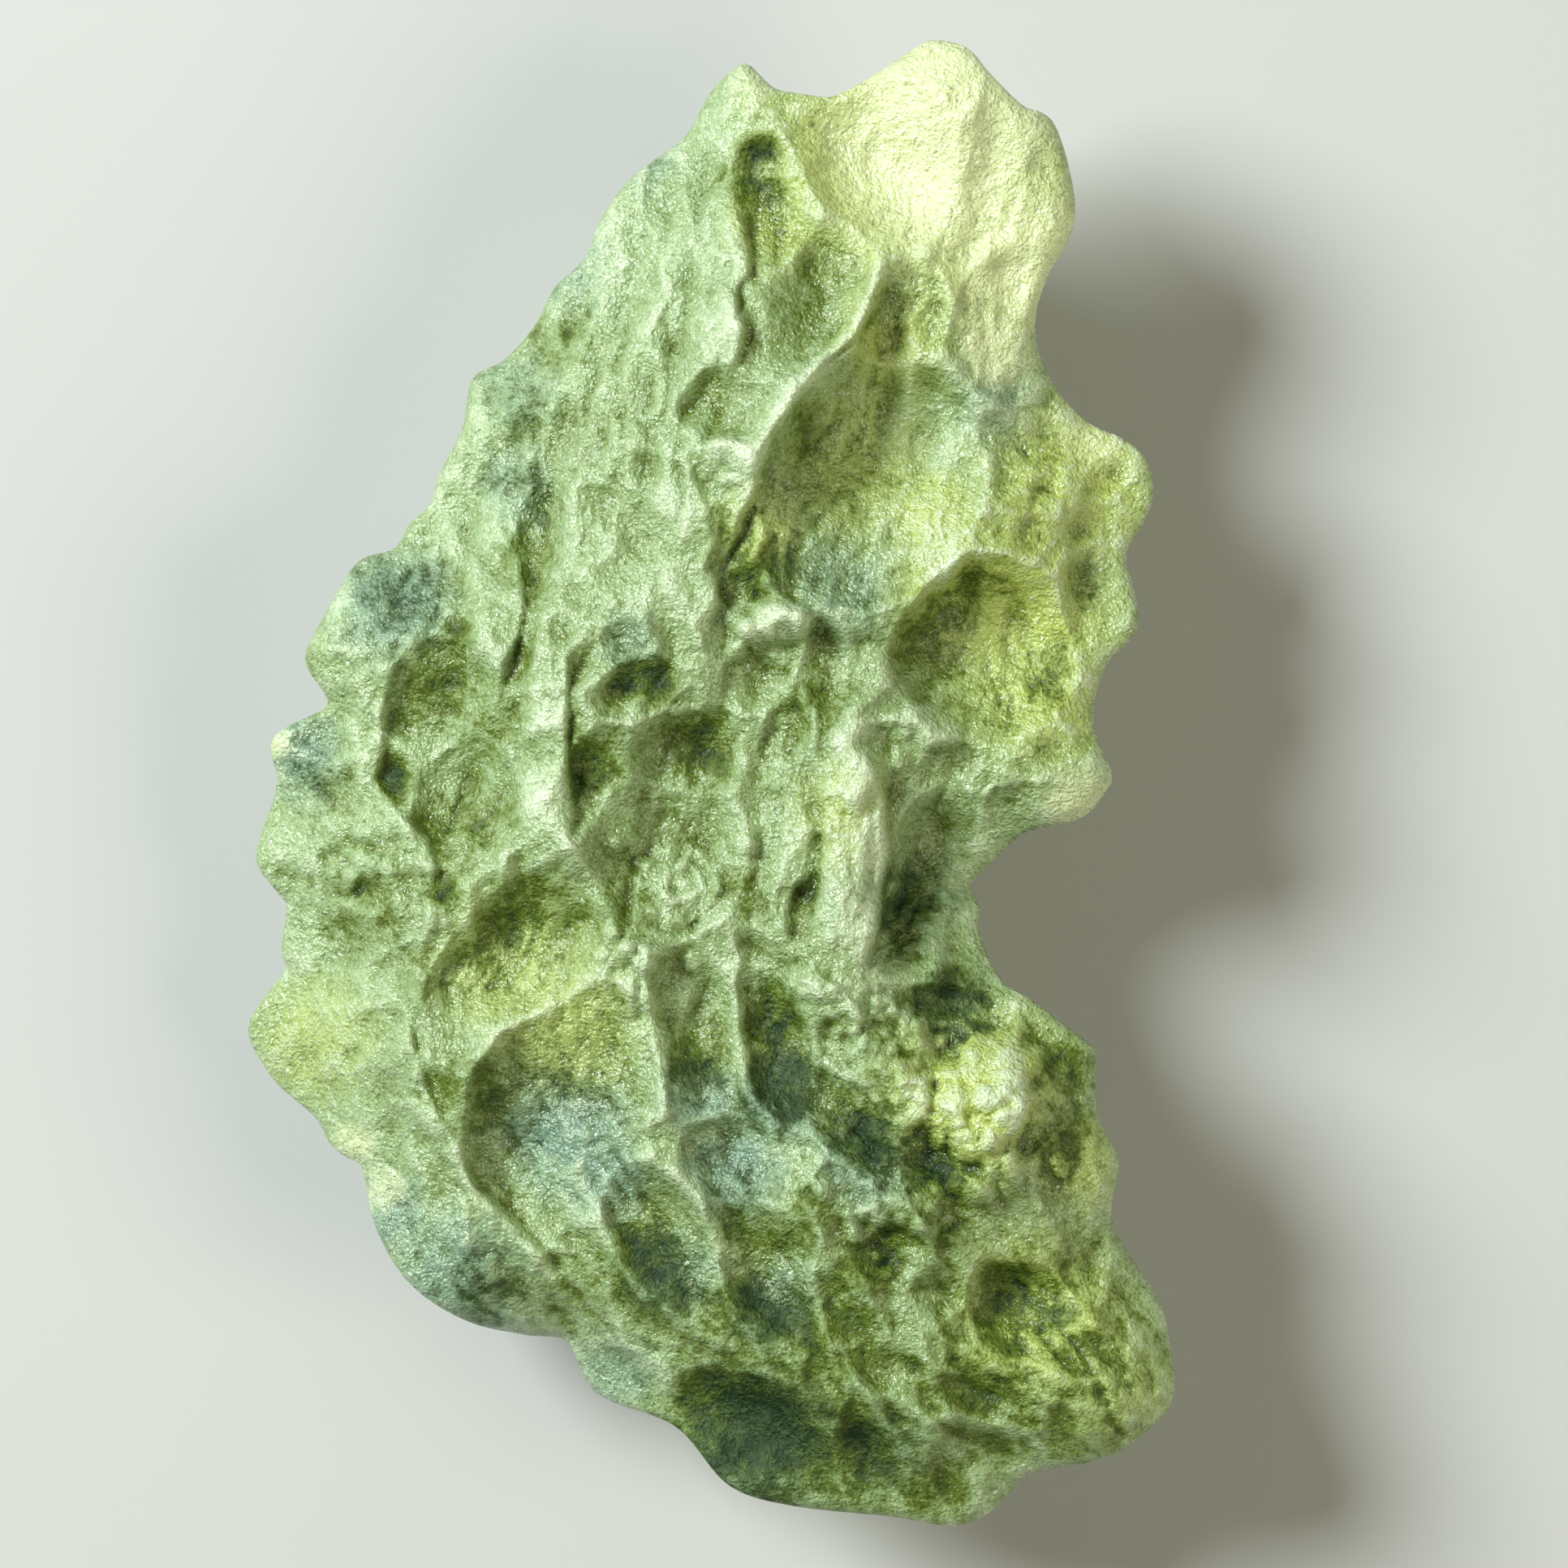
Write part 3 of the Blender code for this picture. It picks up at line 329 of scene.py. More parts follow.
# Where the front has its tints, partly its own tone and partly painted light and shade: x, y, radius,
# and how strongly. Each group below says what it paints.
TINTS = {
    # Partly the glass's cooler tone, partly a painted frosty sheen on the left flank and a painted
    # blue-grey reflection in the lower bowls
    "cool": [
        (480, 740, 75, 0.9), (640, 600, 60, 0.6), (380, 940, 55, 0.8), (640, 480, 60, 0.5),
        (1010, 700, 60, 0.5), (700, 1390, 90, 0.9), (745, 1450, 60, 0.8), (870, 1340, 55, 0.8),
        (965, 1355, 60, 0.9), (906, 1440, 60, 0.9), (820, 1560, 60, 0.7), (940, 1600, 60, 0.7),
        (1060, 1430, 70, 0.7),
        (560, 1560, 80, 0.8), (480, 1500, 50, 0.8), (600, 1620, 60, 0.7), (750, 1700, 60, 0.7),
        (930, 1790, 110, 0.8), (1240, 510, 50, 0.8), (1050, 740, 60, 0.6),
        (780, 800, 45, 0.6), (1130, 1110, 60, 0.5), (1180, 1240, 60, 0.6), (1090, 1790, 60, 0.5),
        (790, 200, 60, 0.5), (700, 330, 60, 0.5),
    ],
    # The glass's yellower tone, painted brighter on the right and in hollows where light would shine
    # through
    "warm": [
        (1080, 200, 150, 0.9), (1230, 300, 130, 0.8), (1320, 600, 120, 0.8), (1240, 740, 130, 0.9),
        (1270, 850, 100, 0.8), (1200, 1350, 110, 0.9), (1330, 1430, 60, 0.7), (1270, 1620, 110, 0.8),
        (1100, 420, 80, 0.8), (960, 280, 60, 0.7), (640, 1180, 100, 0.6), (380, 1280, 90, 0.5),
        (700, 1270, 90, 0.6), (1040, 1000, 70, 0.6), (940, 650, 60, 0.7),
        (1360, 1700, 90, 0.5), (1060, 560, 100, 0.7), (1150, 640, 60, 0.8),
    ],
    # Painted glow of light shining through the thin upper lobe, and painted highlights on thin teeth
    # of the rim
    "painted_glow": [
        (1150, 190, 150, 1.0), (1255, 320, 105, 0.9), (1170, 95, 80, 0.9), (1230, 430, 50, 0.8),
        (1330, 985, 50, 0.7), (345, 925, 24, 0.7), (1350, 545, 50, 0.5), (470, 1470, 30, 0.6),
        (425, 1415, 30, 0.7), (925, 120, 35, 0.5),
    ],
    # Painted light on lit ridges, ribs, knobs and lobes and on the lit walls of hollows
    "pale": [
        (1045, 930, 55, 0.8), (1060, 1030, 50, 0.9), (1062, 1130, 50, 0.9), (1070, 1200, 45, 0.7),
        (962, 1030, 35, 0.7), (900, 570, 45, 0.7), (845, 640, 45, 0.6), (820, 730, 50, 0.6),
        (760, 680, 45, 0.4), (678, 880, 35, 0.8), (676, 970, 35, 0.7), (790, 330, 90, 0.5),
        (880, 320, 40, 0.6), (890, 400, 35, 0.6), (830, 1085, 45, 0.5), (890, 1180, 30, 0.5),
        (1130, 905, 40, 0.5), (720, 780, 50, 0.4), (575, 850, 40, 0.3), (570, 950, 40, 0.4),
        (1220, 1340, 60, 0.5), (1310, 990, 40, 0.6), (560, 1250, 40, 0.3), (430, 1250, 80, 0.3),
        (500, 1400, 40, 0.4), (700, 1450, 50, 0.3), (905, 1420, 35, 0.5), (980, 1420, 25, 0.5),
        (960, 770, 40, 0.5), (1180, 620, 35, 0.6), (1150, 700, 40, 0.4), (560, 640, 40, 0.4),
        (410, 930, 30, 0.4), (1120, 1330, 60, 0.5), (845, 1240, 35, 0.4), (1340, 640, 50, 0.4),
        (1150, 560, 70, 0.7), (1140, 660, 80, 0.9), (1020, 520, 80, 0.5), (1100, 430, 40, 0.4),
        (1250, 760, 60, 0.4),
    ],
    # Painted shade on the shady sides of hollows and furrows, and over the dark lower facets
    "shade_and_dark_tone": [
        (930, 1780, 130, 1.2), (1050, 1790, 90, 0.9), (880, 1700, 55, 0.6), (790, 1545, 45, 1.0),
        (815, 1590, 40, 0.9), (905, 1600, 45, 1.0), (945, 1630, 40, 0.9), (1055, 1560, 40, 0.9),
        (965, 1345, 55, 1.0), (870, 1300, 50, 0.7),
        (1070, 1400, 55, 0.9), (1150, 1450, 50, 0.8), (1180, 1225, 55, 0.9), (950, 1260, 45, 0.8),
        (1130, 1110, 50, 0.7), (1310, 1390, 50, 0.6), (985, 530, 45, 0.5), (1050, 440, 40, 0.3),
        (1120, 760, 60, 0.6), (880, 660, 40, 0.5), (950, 700, 50, 0.7), (800, 840, 40, 0.9),
        (735, 950, 50, 0.7), (870, 920, 50, 0.7), (560, 1090, 30, 0.9), (500, 960, 25, 0.9),
        (535, 850, 45, 0.6), (640, 700, 40, 0.5), (650, 600, 40, 0.5), (560, 770, 28, 0.8),
        (938, 188, 22, 1.0), (925, 235, 40, 0.6), (640, 1110, 50, 0.5), (590, 1340, 50, 0.7),
        (1235, 1580, 50, 0.7), (1150, 1830, 60, 0.7), (480, 730, 60, 0.5), (590, 1590, 50, 0.6),
        (1010, 870, 50, 0.6), (1200, 700, 40, 0.5), (1290, 830, 50, 0.5), (1090, 1300, 40, 0.6),
        (1120, 1500, 50, 0.6), (1190, 1690, 50, 0.5), (1300, 1310, 45, 0.6), (520, 1200, 40, 0.5),
        (600, 1160, 30, 0.5),
        (1350, 1750, 60, 0.4), (690, 420, 40, 0.5), (600, 880, 60, 0.4), (520, 800, 50, 0.4),
        (580, 1000, 60, 0.4), (450, 1110, 60, 0.4), (400, 960, 50, 0.4), (640, 500, 50, 0.5),
        (1300, 1600, 110, 0.5), (1200, 1700, 100, 0.6), (1010, 1650, 80, 0.7), (720, 1580, 60, 0.4),
        (900, 1490, 50, 0.5), (860, 1620, 50, 0.6), (985, 1500, 50, 0.6), (1150, 1540, 60, 0.5),
        (1320, 1740, 80, 0.5), (1390, 1680, 50, 0.4), (1160, 1650, 60, 0.5), (910, 1090, 40, 0.5),
        (760, 1120, 40, 0.5),
    ],
}
# The same on the back, as random drifts of tone that paint no light or shade: their middle, how far
# they swing, and lattice cell in mm
BACK_TINTS = {
    "cool": (0.4, 0.4, 2.4),
    "warm": (0.3, 0.4, 3.1),
    "pale": (0.3, 0.4, 1.7),
    "shade_and_dark_tone": (0.3, 0.4, 2.0),
}

# Over what reach a place is set against its surroundings, and the height that counts as one,
# in mm
# From these the colours paint shade into furrows and light onto crests
FINE_REACH = 0.12
FINE_CREST = 0.06
BROAD_REACH = 0.55
BROAD_CREST = 0.25


def placed(column, row):
    """Millimetres in the stone's plane for a pixel of the picture."""
    return ((column - MIDDLE_PIXEL[0]) * PIXEL, (MIDDLE_PIXEL[1] - row) * PIXEL)


def outline_loop(steps):
    """A closed Catmull-Rom curve through OUTLINE, as an array of points in millimetres."""
    knots = np.array([placed(*pixel) for pixel in OUTLINE])
    before = np.roll(knots, 1, axis=0)
    after = np.roll(knots, -1, axis=0)
    beyond = np.roll(knots, -2, axis=0)
    loop = []
    for step in range(steps):
        t = step / steps
        bend = (2 * before - 5 * knots + 4 * after - beyond) * t * t
        twist = (3 * knots - before - 3 * after + beyond) * t ** 3
        loop.append((2 * knots + (after - before) * t + bend + twist) / 2)
    return np.stack(loop, axis=1).reshape(-1, 2)


def soft_depth(points, loop):
    """A smooth distance in from the outline: the integral of 1/r^3 along it, turned round."""
    total = np.zeros(len(points))
    for start, end in zip(loop, np.roll(loop, -1, axis=0)):
        along = (end - start) / np.linalg.norm(end - start)
        offset = points - start
        run = offset @ along
        rest = np.linalg.norm(end - start) - run
        height = np.maximum(np.abs(offset[:, 0] * along[1] - offset[:, 1] * along[0]), 1e-4)
        total += (rest / np.hypot(height, rest) + run / np.hypot(height, run)) / height ** 2
    return np.sqrt(2 / total)


class Relief:
    """A map of heights over the stone's plane, in millimetres, on which shapes are stamped."""

    def __init__(self, lean=0.0):
        self.lean = lean
        self.cell = RELIEF_CELL
        self.low = -np.array(MAP_HALF)
        self.size = np.round(2 * np.array(MAP_HALF) / RELIEF_CELL).astype(int) + 1
        self.map = np.zeros(self.size)

    def stamp(self, x, y, half_length, half_width, turn, steepness):
        """Raise the map to an upturned bowl, where it is lower.

        The map's lean makes the bowl steeper at the upper left and gentler at the lower right.
        """
        first = np.maximum(((np.array([x, y]) - half_length - self.low) / self.cell).astype(int), 0)
        last = ((np.array([x, y]) + half_length - self.low) / self.cell).astype(int) + 2
        last = np.minimum(last, self.size)
        if np.any(first >= last):
            return
        across = self.low[0] + self.cell * np.arange(first[0], last[0])[:, None] - x
        up = self.low[1] + self.cell * np.arange(first[1], last[1])[None, :] - y
        along = (across * math.cos(turn) + up * math.sin(turn)) / half_length
        beside = (up * math.cos(turn) - across * math.sin(turn)) / half_width
        patch = self.map[first[0]:last[0], first[1]:last[1]]
        tilt = np.maximum(1 + self.lean * (up - across) / (half_length + half_width), LEAST_TILT)
        bowl = steepness * half_width * (1 - along ** 2 - beside ** 2)
        np.maximum(patch, bowl * tilt, out=patch)

    def draw(self, step, lift, width, line):
        """Add a step across a line and a ridge along it, both fading towards its ends."""
        line = np.array([placed(*pixel) for pixel in line])
        width = width * PIXEL
        first = np.maximum(((line.min(axis=0) - 5 * width - self.low) / self.cell).astype(int), 0)
        last = ((line.max(axis=0) + 5 * width - self.low) / self.cell).astype(int) + 2
        last = np.minimum(last, self.size)
        across = self.low[0] + self.cell * np.arange(first[0], last[0])[:, None]
        up = self.low[1] + self.cell * np.arange(first[1], last[1])[None, :]
        near = np.full((last[0] - first[0], last[1] - first[1]), 1e9)
        height = np.zeros_like(near)
        for index, (start, end) in enumerate(zip(line[:-1], line[1:])):
            run = end - start
            offset = (across - start[0], up - start[1])
            part = np.clip((offset[0] * run[0] + offset[1] * run[1]) / (run @ run), 0, 1)
            gap = np.hypot(offset[0] - part * run[0], offset[1] - part * run[1])
            side = np.sign(offset[1] * run[0] - offset[0] * run[1])
            share = (index + part) / (len(line) - 1)
            fade = np.clip(4 * np.minimum(share, 1 - share), 0, 1)
            cliff = -side * np.exp(-gap / width) * (1 - np.exp(-gap / STEP_WIDTH))
            made = fade * (step * cliff + lift * np.exp(-(gap / width) ** 2))
            height = np.where(gap < near, made, height)
            near = np.minimum(near, gap)
        self.map[first[0]:last[0], first[1]:last[1]] += height

    def stamp_table(self, table, gain, reach):
        """Stamp a table's rows, their slopes times the gain and their sizes times the reach."""
        for column, row, half_length, half_width, turn, steepness in table:
            x, y = placed(column, row)
            self.stamp(x, y, half_length * PIXEL * reach, half_width * PIXEL * reach,
                       math.radians(turn), steepness * gain)

    def scatter(self, rng, spacing, half_length, half_width, steepness):
        """Stamp bowls on a jittered grid, each turned along the furrows' lead."""
        middle = placed(*FLOW_PIXEL)
        for x in np.arange(-MAP_HALF[0], MAP_HALF[0], spacing):
            for y in np.arange(-MAP_HALF[1], MAP_HALF[1], spacing):
                jitter = rng.uniform(-STRAY, STRAY, 2) * spacing
                size = rng.uniform(*SIZE_FACTORS)
                lead = math.atan2(y + jitter[1] - middle[1], x + jitter[0] - middle[0])
                self.stamp(x + jitter[0], y + jitter[1], half_length * size, half_width * size,
                           lead + rng.normal(0, TURN_SPREAD),
                           steepness * rng.uniform(*STEEPNESS_FACTORS))

    def places(self):
        """The points of the map's cells, row by row."""
        across, up = (low + self.cell * np.arange(size) for low, size in zip(self.low, self.size))
        return np.stack(np.meshgrid(across, up, indexing="ij"), axis=-1).reshape(-1, 2)

    def add(self, heights):
        """Add heights that are in the order of places()."""
        self.map += heights.reshape(self.size)

    def crests(self, reach):
        """A map of how far each place stands above its surroundings within reach."""
        rows, columns = self.size
        across = np.fft.fftfreq(rows, self.cell)[:, None]
        up = np.fft.rfftfreq(columns, self.cell)[None, :]
        spread = np.exp(-2 * (math.pi * reach) ** 2 * (across ** 2 + up ** 2))
        crests = Relief()
        crests.map = self.map - np.fft.irfft2(np.fft.rfft2(self.map) * spread, (rows, columns))
        return crests

    def at(self, points):
        """Heights at points, between the map's cells in straight lines."""
        place = (points - self.low) / self.cell
        corner = np.clip(place.astype(int), 0, self.size - 2)
        part = np.clip(place - corner, 0, 1)
        i, j = corner.T
        u, v = part.T
        near = self.map[i, j] * (1 - v) + self.map[i, j + 1] * v
        far = self.map[i + 1, j] * (1 - v) + self.map[i + 1, j + 1] * v
        return near * (1 - u) + far * u


def lattice_noise(points, cell, rng):
    """Smooth random numbers between -1 and 1, one to each lattice cell."""
    count = np.ceil(2 * np.array(MAP_HALF) / cell).astype(int) + 2
    values = rng.uniform(-1, 1, count)
    place = np.clip((points + np.array(MAP_HALF)) / cell, 0, count - 1.001)
    corner = place.astype(int)
    part = place - corner
    u, v = (part * part * (3 - 2 * part)).T
    i, j = corner.T
    near = values[i, j] * (1 - v) + values[i, j + 1] * v
    far = values[i + 1, j] * (1 - v) + values[i + 1, j + 1] * v
    return near * (1 - u) + far * u


def wandered(points, rng, table):
    """The points shifted a little each way, so that no crest stays a plain ellipse."""
    shifted = points.copy()
    for cell, reach in table:
        for axis in (0, 1):
            shifted[:, axis] += reach * lattice_noise(points, cell, rng)
    return shifted


def wrinkles(points, table, lead, rng):
    """Sharp crests and round furrows of several sizes, which run along the lead."""
    turn = math.radians(lead)
    along = points @ np.array([math.cos(turn), math.sin(turn)]) / WRINKLE_STRETCH
    beside = points @ np.array([-math.sin(turn), math.cos(turn)])
    stretched = np.stack((along, beside), axis=1)
    return sum(height * (WRINKLE_LEVEL - np.abs(lattice_noise(stretched, cell, rng)))
               for cell, height in table)


def front_wrinkles(points, table, rng):
    """Wrinkles that run one way above the rows of the turn and another way below them."""
    upper, lower = (placed(0, row)[1] for row in LEAD_ROWS)
    share = np.clip((points[:, 1] - upper) / (lower - upper), 0, 1)
    return (wrinkles(points, table, UPPER_LEAD, rng) * (1 - share)
            + wrinkles(points, table, LOWER_LEAD, rng) * share)


def rim_wave(points, rng):
    """How far the whole stone is bent up or down at each point."""
    wave = np.zeros(len(points))
    for column, row, radius, lift in BENDS:
        offset = points - np.array(placed(column, row))
        wave += lift * np.exp(-np.sum(offset ** 2, axis=1) / (radius * PIXEL) ** 2)
    for _ in range(RIPPLES):
        turn, phase = rng.uniform(0, 2 * math.pi, 2)
        length = rng.uniform(*RIPPLE_WAVELENGTHS)
        run = points @ np.array([math.cos(turn), math.sin(turn)])
        wave += RIPPLE_HEIGHT * np.sin(2 * math.pi * run / length + phase)
    return wave


def spots(table, points):
    """How strongly a table's spots show at points of the front."""
    share = np.zeros(len(points))
    for column, row, radius, strength in table:
        offset = points - np.array(placed(column, row))
        patch = strength * np.exp(-(np.sum(offset ** 2, axis=1) / (radius * PIXEL) ** 2) ** 1.5)
        share = np.maximum(share, patch)
    return share


def drifts(name, points, rng):
    """How strongly a tint shows at points of the back."""
    if name not in BACK_TINTS:
        return np.zeros(len(points))
    middle, swing, cell = BACK_TINTS[name]
    return middle + swing * lattice_noise(points, cell, rng)


def fluted(depth, points, rng):
    """The depth with ribs and flutes, so that the back's flanks don't run straight."""
    return depth * (1 + sum(share * lattice_noise(points, cell, rng) for cell, share in FLUTES))


def dome(depth, reach, power):
    """A rise from 0 at the rim to 1 at reach, steep at first."""
    return 1 - (1 - np.clip(depth / reach, 0, 1)) ** power


def ribs(points):
    """Ribs round their middles, each patch fading outwards."""
    height = np.zeros(len(points))
    for column, row, radius, middle, spacing, rise in RIBS:
        offset = points - np.array(placed(column, row))
        patch = np.exp(-np.sum(offset ** 2, axis=1) / (radius * PIXEL) ** 2)
        reach = np.linalg.norm(points - np.array(placed(*middle)), axis=1)
        height += rise * patch * (RIB_LEVEL - np.abs(np.sin(math.pi * reach / spacing)))
    return height


def front_etching(rng):
    """The front's fine relief as a map."""
    fine = Relief()
    for scatter in FINE_SCATTER:
        fine.scatter(rng, *scatter)
    beads = Relief()
    for column, row, radius, count, sizes in BEADS:
        for _ in range(count):
            x, y = np.array(placed(column, row)) + rng.normal(0, BEAD_SPREAD, 2) * radius * PIXEL
            size = rng.uniform(*sizes)
            beads.stamp(x, y, size, size, 0.0, BEAD_STEEPNESS)
    fine.map = beads.map - fine.map
    places = fine.places()
    shifted = wandered(places, rng, FINE_WANDER)
    share = LEAST_LUMPS + (1 - LEAST_LUMPS) * spots(LUMPY, places)
    fine.add(-share * front_wrinkles(shifted, LUMPS, rng))
    fine.add(ribs(shifted))
    return fine


def back_etching(rng):
    """The back's fine relief as a map, its crests pointing down."""
    fine = Relief()
    for scatter in FINE_BACK_SCATTER:
        fine.scatter(rng, *scatter)
    fine.add(wrinkles(wandered(fine.places(), rng, FINE_WANDER), BACK_LUMPS, BACK_LEAD, rng))
    return fine


def front_and_back(points, loop):
    """Heights of the front and the back, in millimetres, and what the colours follow.

    These are the stone's thickness, its tints, and how far each point stands above its
    surroundings, each for the front and for the back.
    """
    rng = np.random.default_rng(SEED)
    hollows = Relief(HOLLOW_LEAN)
    for scatter in FRONT_SCATTER:
        hollows.scatter(rng, *scatter)
    hollows.stamp_table(FRONT_HOLLOWS, HOLLOW_GAIN, HOLLOW_REACH)
    lobes = Relief()
    lobes.stamp_table(FRONT_LOBES, LOBE_GAIN, LOBE_REACH)
    for crest_line in CREST_LINES:
        lobes.draw(*crest_line)
    pits = Relief()
    for scatter in BACK_SCATTER:
        pits.scatter(rng, *scatter)
    bent = wandered(points, rng, WANDER)
    depth = soft_depth(points, loop)
    bulge = dome(depth, *FRONT_DOME)
    back_bulge = dome(fluted(depth, bent, rng), *BACK_DOME)
    front = FRONT_RISE * bulge + LEAN * points[:, 0]
    back = -BACK_DROP * back_bulge + LEAN * points[:, 0] * (1 - back_bulge)
    inner = 1 - np.exp(-depth / RELIEF_FADE)
    for column, row, radius, rise, lift in SWELLS:
        offset = points - np.array(placed(column, row))
        swell = np.exp(-np.sum(offset ** 2, axis=1) / (radius * PIXEL) ** 2)
        front += rise * swell * bulge
        back += lift * swell * back_bulge
    wave = rim_wave(points, rng)
    lobes.add(front_wrinkles(lobes.places(), WRINKLES, rng))
    pits.add(-wrinkles(pits.places(), WRINKLES, BACK_LEAD, rng))
    fine_rng = np.random.default_rng(FINE_SEED)
    lobes.map += front_etching(fine_rng).map - hollows.map
    pits.map += back_etching(fine_rng).map
    front += lobes.at(bent) * inner
    back += pits.at(bent) * inner
    middle = (front + back) / 2 + wave
    half = np.maximum((front - back + RIM_THICKNESS) / 2, LEAST_THICKNESS / 2)
    edge = 1 - np.clip(depth / RIM_ROUNDING, 0, 1)
    half *= RIM_SHARE + (1 - RIM_SHARE) * np.sqrt(1 - edge ** 2)
    # The colours paint light and shade from these: a glow where the glass is thin, shade in furrows
    # and light on crests, and the light and shade of the tints' spots
    fields = {
        "thickness": (2 * half, 2 * half),
        "crest": (lobes.crests(FINE_REACH).at(bent) / FINE_CREST,
                  -pits.crests(FINE_REACH).at(bent) / FINE_CREST),
        "rise": (lobes.crests(BROAD_REACH).at(bent) / BROAD_CREST,
                 -pits.crests(BROAD_REACH).at(bent) / BROAD_CREST),
    }
    for name, table in TINTS.items():
        fields[name] = (spots(table, bent), drifts(name, points, fine_rng))
    return middle + half, middle - half, fields


def evaluated_mesh(source):
    """The object's mesh with its modifiers applied, in place of the object."""
    graph = bpy.context.evaluated_depsgraph_get()
    mesh = bpy.data.meshes.new_from_object(source.evaluated_get(graph))
    bpy.data.objects.remove(source)
    return mesh


def linked(name, data):
    """A new object in the scene."""
    made = bpy.data.objects.new(name, data)
    bpy.context.scene.collection.objects.link(made)
    return made


def slab(loop):
    """The outline as a thin slab, RIM_THICKNESS high, with a mesh of even squares."""
    curve = bpy.data.curves.new("outline", "CURVE")
    curve.dimensions = "2D"
    curve.fill_mode = "BOTH"
    curve.extrude = RIM_THICKNESS / 2
    spline = curve.splines.new("POLY")
    spline.points.add(len(loop) - 1)
    for point, (x, y) in zip(spline.points, loop):
        point.co = (x, y, 0, 1)
    spline.use_cyclic_u = True
    mesh = evaluated_mesh(linked("outline", curve))
    bm = bmesh.new()
    bm.from_mesh(mesh)
    bmesh.ops.remove_doubles(bm, verts=bm.verts, dist=1e-5)
    bm.to_mesh(mesh)
    bm.free()
    blank = linked("blank", mesh)
    remesh = blank.modifiers.new("even", "REMESH")
    remesh.mode = "VOXEL"
    remesh.voxel_size = VOXEL
    return evaluated_mesh(blank)


def sculpt(mesh, loop):
    """Spread the slab to the heights of the front and the back."""
    points = np.empty(len(mesh.vertices) * 3)
    mesh.vertices.foreach_get("co", points)
    points = points.reshape(-1, 3)
    front, back, fields = front_and_back(points[:, :2], loop)
    share = np.clip(points[:, 2] / RIM_THICKNESS + 0.5, 0, 1)
    points[:, 2] = back + (front - back) * share
    mesh.vertices.foreach_set("co", points.ravel())
    for name, (above, below) in fields.items():
        field = mesh.attributes.new(name, "FLOAT", "POINT")
        field.data.foreach_set("value", np.where(share > 0.5, above, below).astype(np.float32))
    mesh.update()


def thinned(mesh):
    """The mesh with its triangles spent where the surface turns."""
    full = linked("full", mesh)
    thin = full.modifiers.new("thin", "DECIMATE")
    thin.ratio = min(TRIANGLES / (2 * len(mesh.polygons)), 1.0)
    thin.use_collapse_triangulate = True
    return evaluated_mesh(full)


def set_in_box(mesh, low, high):
    """Grind the lowest crests flat and set the stone into the solid's box, in metres.

    The height of the rim's plane above the floor comes back.
    """
    heights = [vertex.co.z for vertex in mesh.vertices]
    floor = max(heights) - (high.z - low.z) * 1000
    bm = bmesh.new()
    bm.from_mesh(mesh)
    geometry = bm.verts[:] + bm.edges[:] + bm.faces[:]
    cut = bmesh.ops.bisect_plane(bm, geom=geometry, dist=1e-6, plane_co=(0, 0, floor),
                                 plane_no=(0, 0, -1), clear_outer=True)
    rim = [item for item in cut["geom_cut"] if isinstance(item, bmesh.types.BMEdge)]
    bmesh.ops.holes_fill(bm, edges=rim, sides=0)
    bmesh.ops.triangulate(bm, faces=bm.faces)
    bmesh.ops.recalc_face_normals(bm, faces=bm.faces)
    bm.to_mesh(mesh)
    bm.free()
    corners = np.array([vertex.co[:] for vertex in mesh.vertices])
    middle = (corners.min(axis=0) + corners.max(axis=0)) / 2
    mesh.transform(Matrix.Translation(Vector((-middle[0], -middle[1], -floor))))
    mesh.transform(Matrix.Scale(0.001, 4))
    mesh.transform(Matrix.Translation(Vector(((low.x + high.x) / 2, (low.y + high.y) / 2, low.z))))
    mesh.polygons.foreach_set("use_smooth", [True] * len(mesh.polygons))
    return -floor / 1000


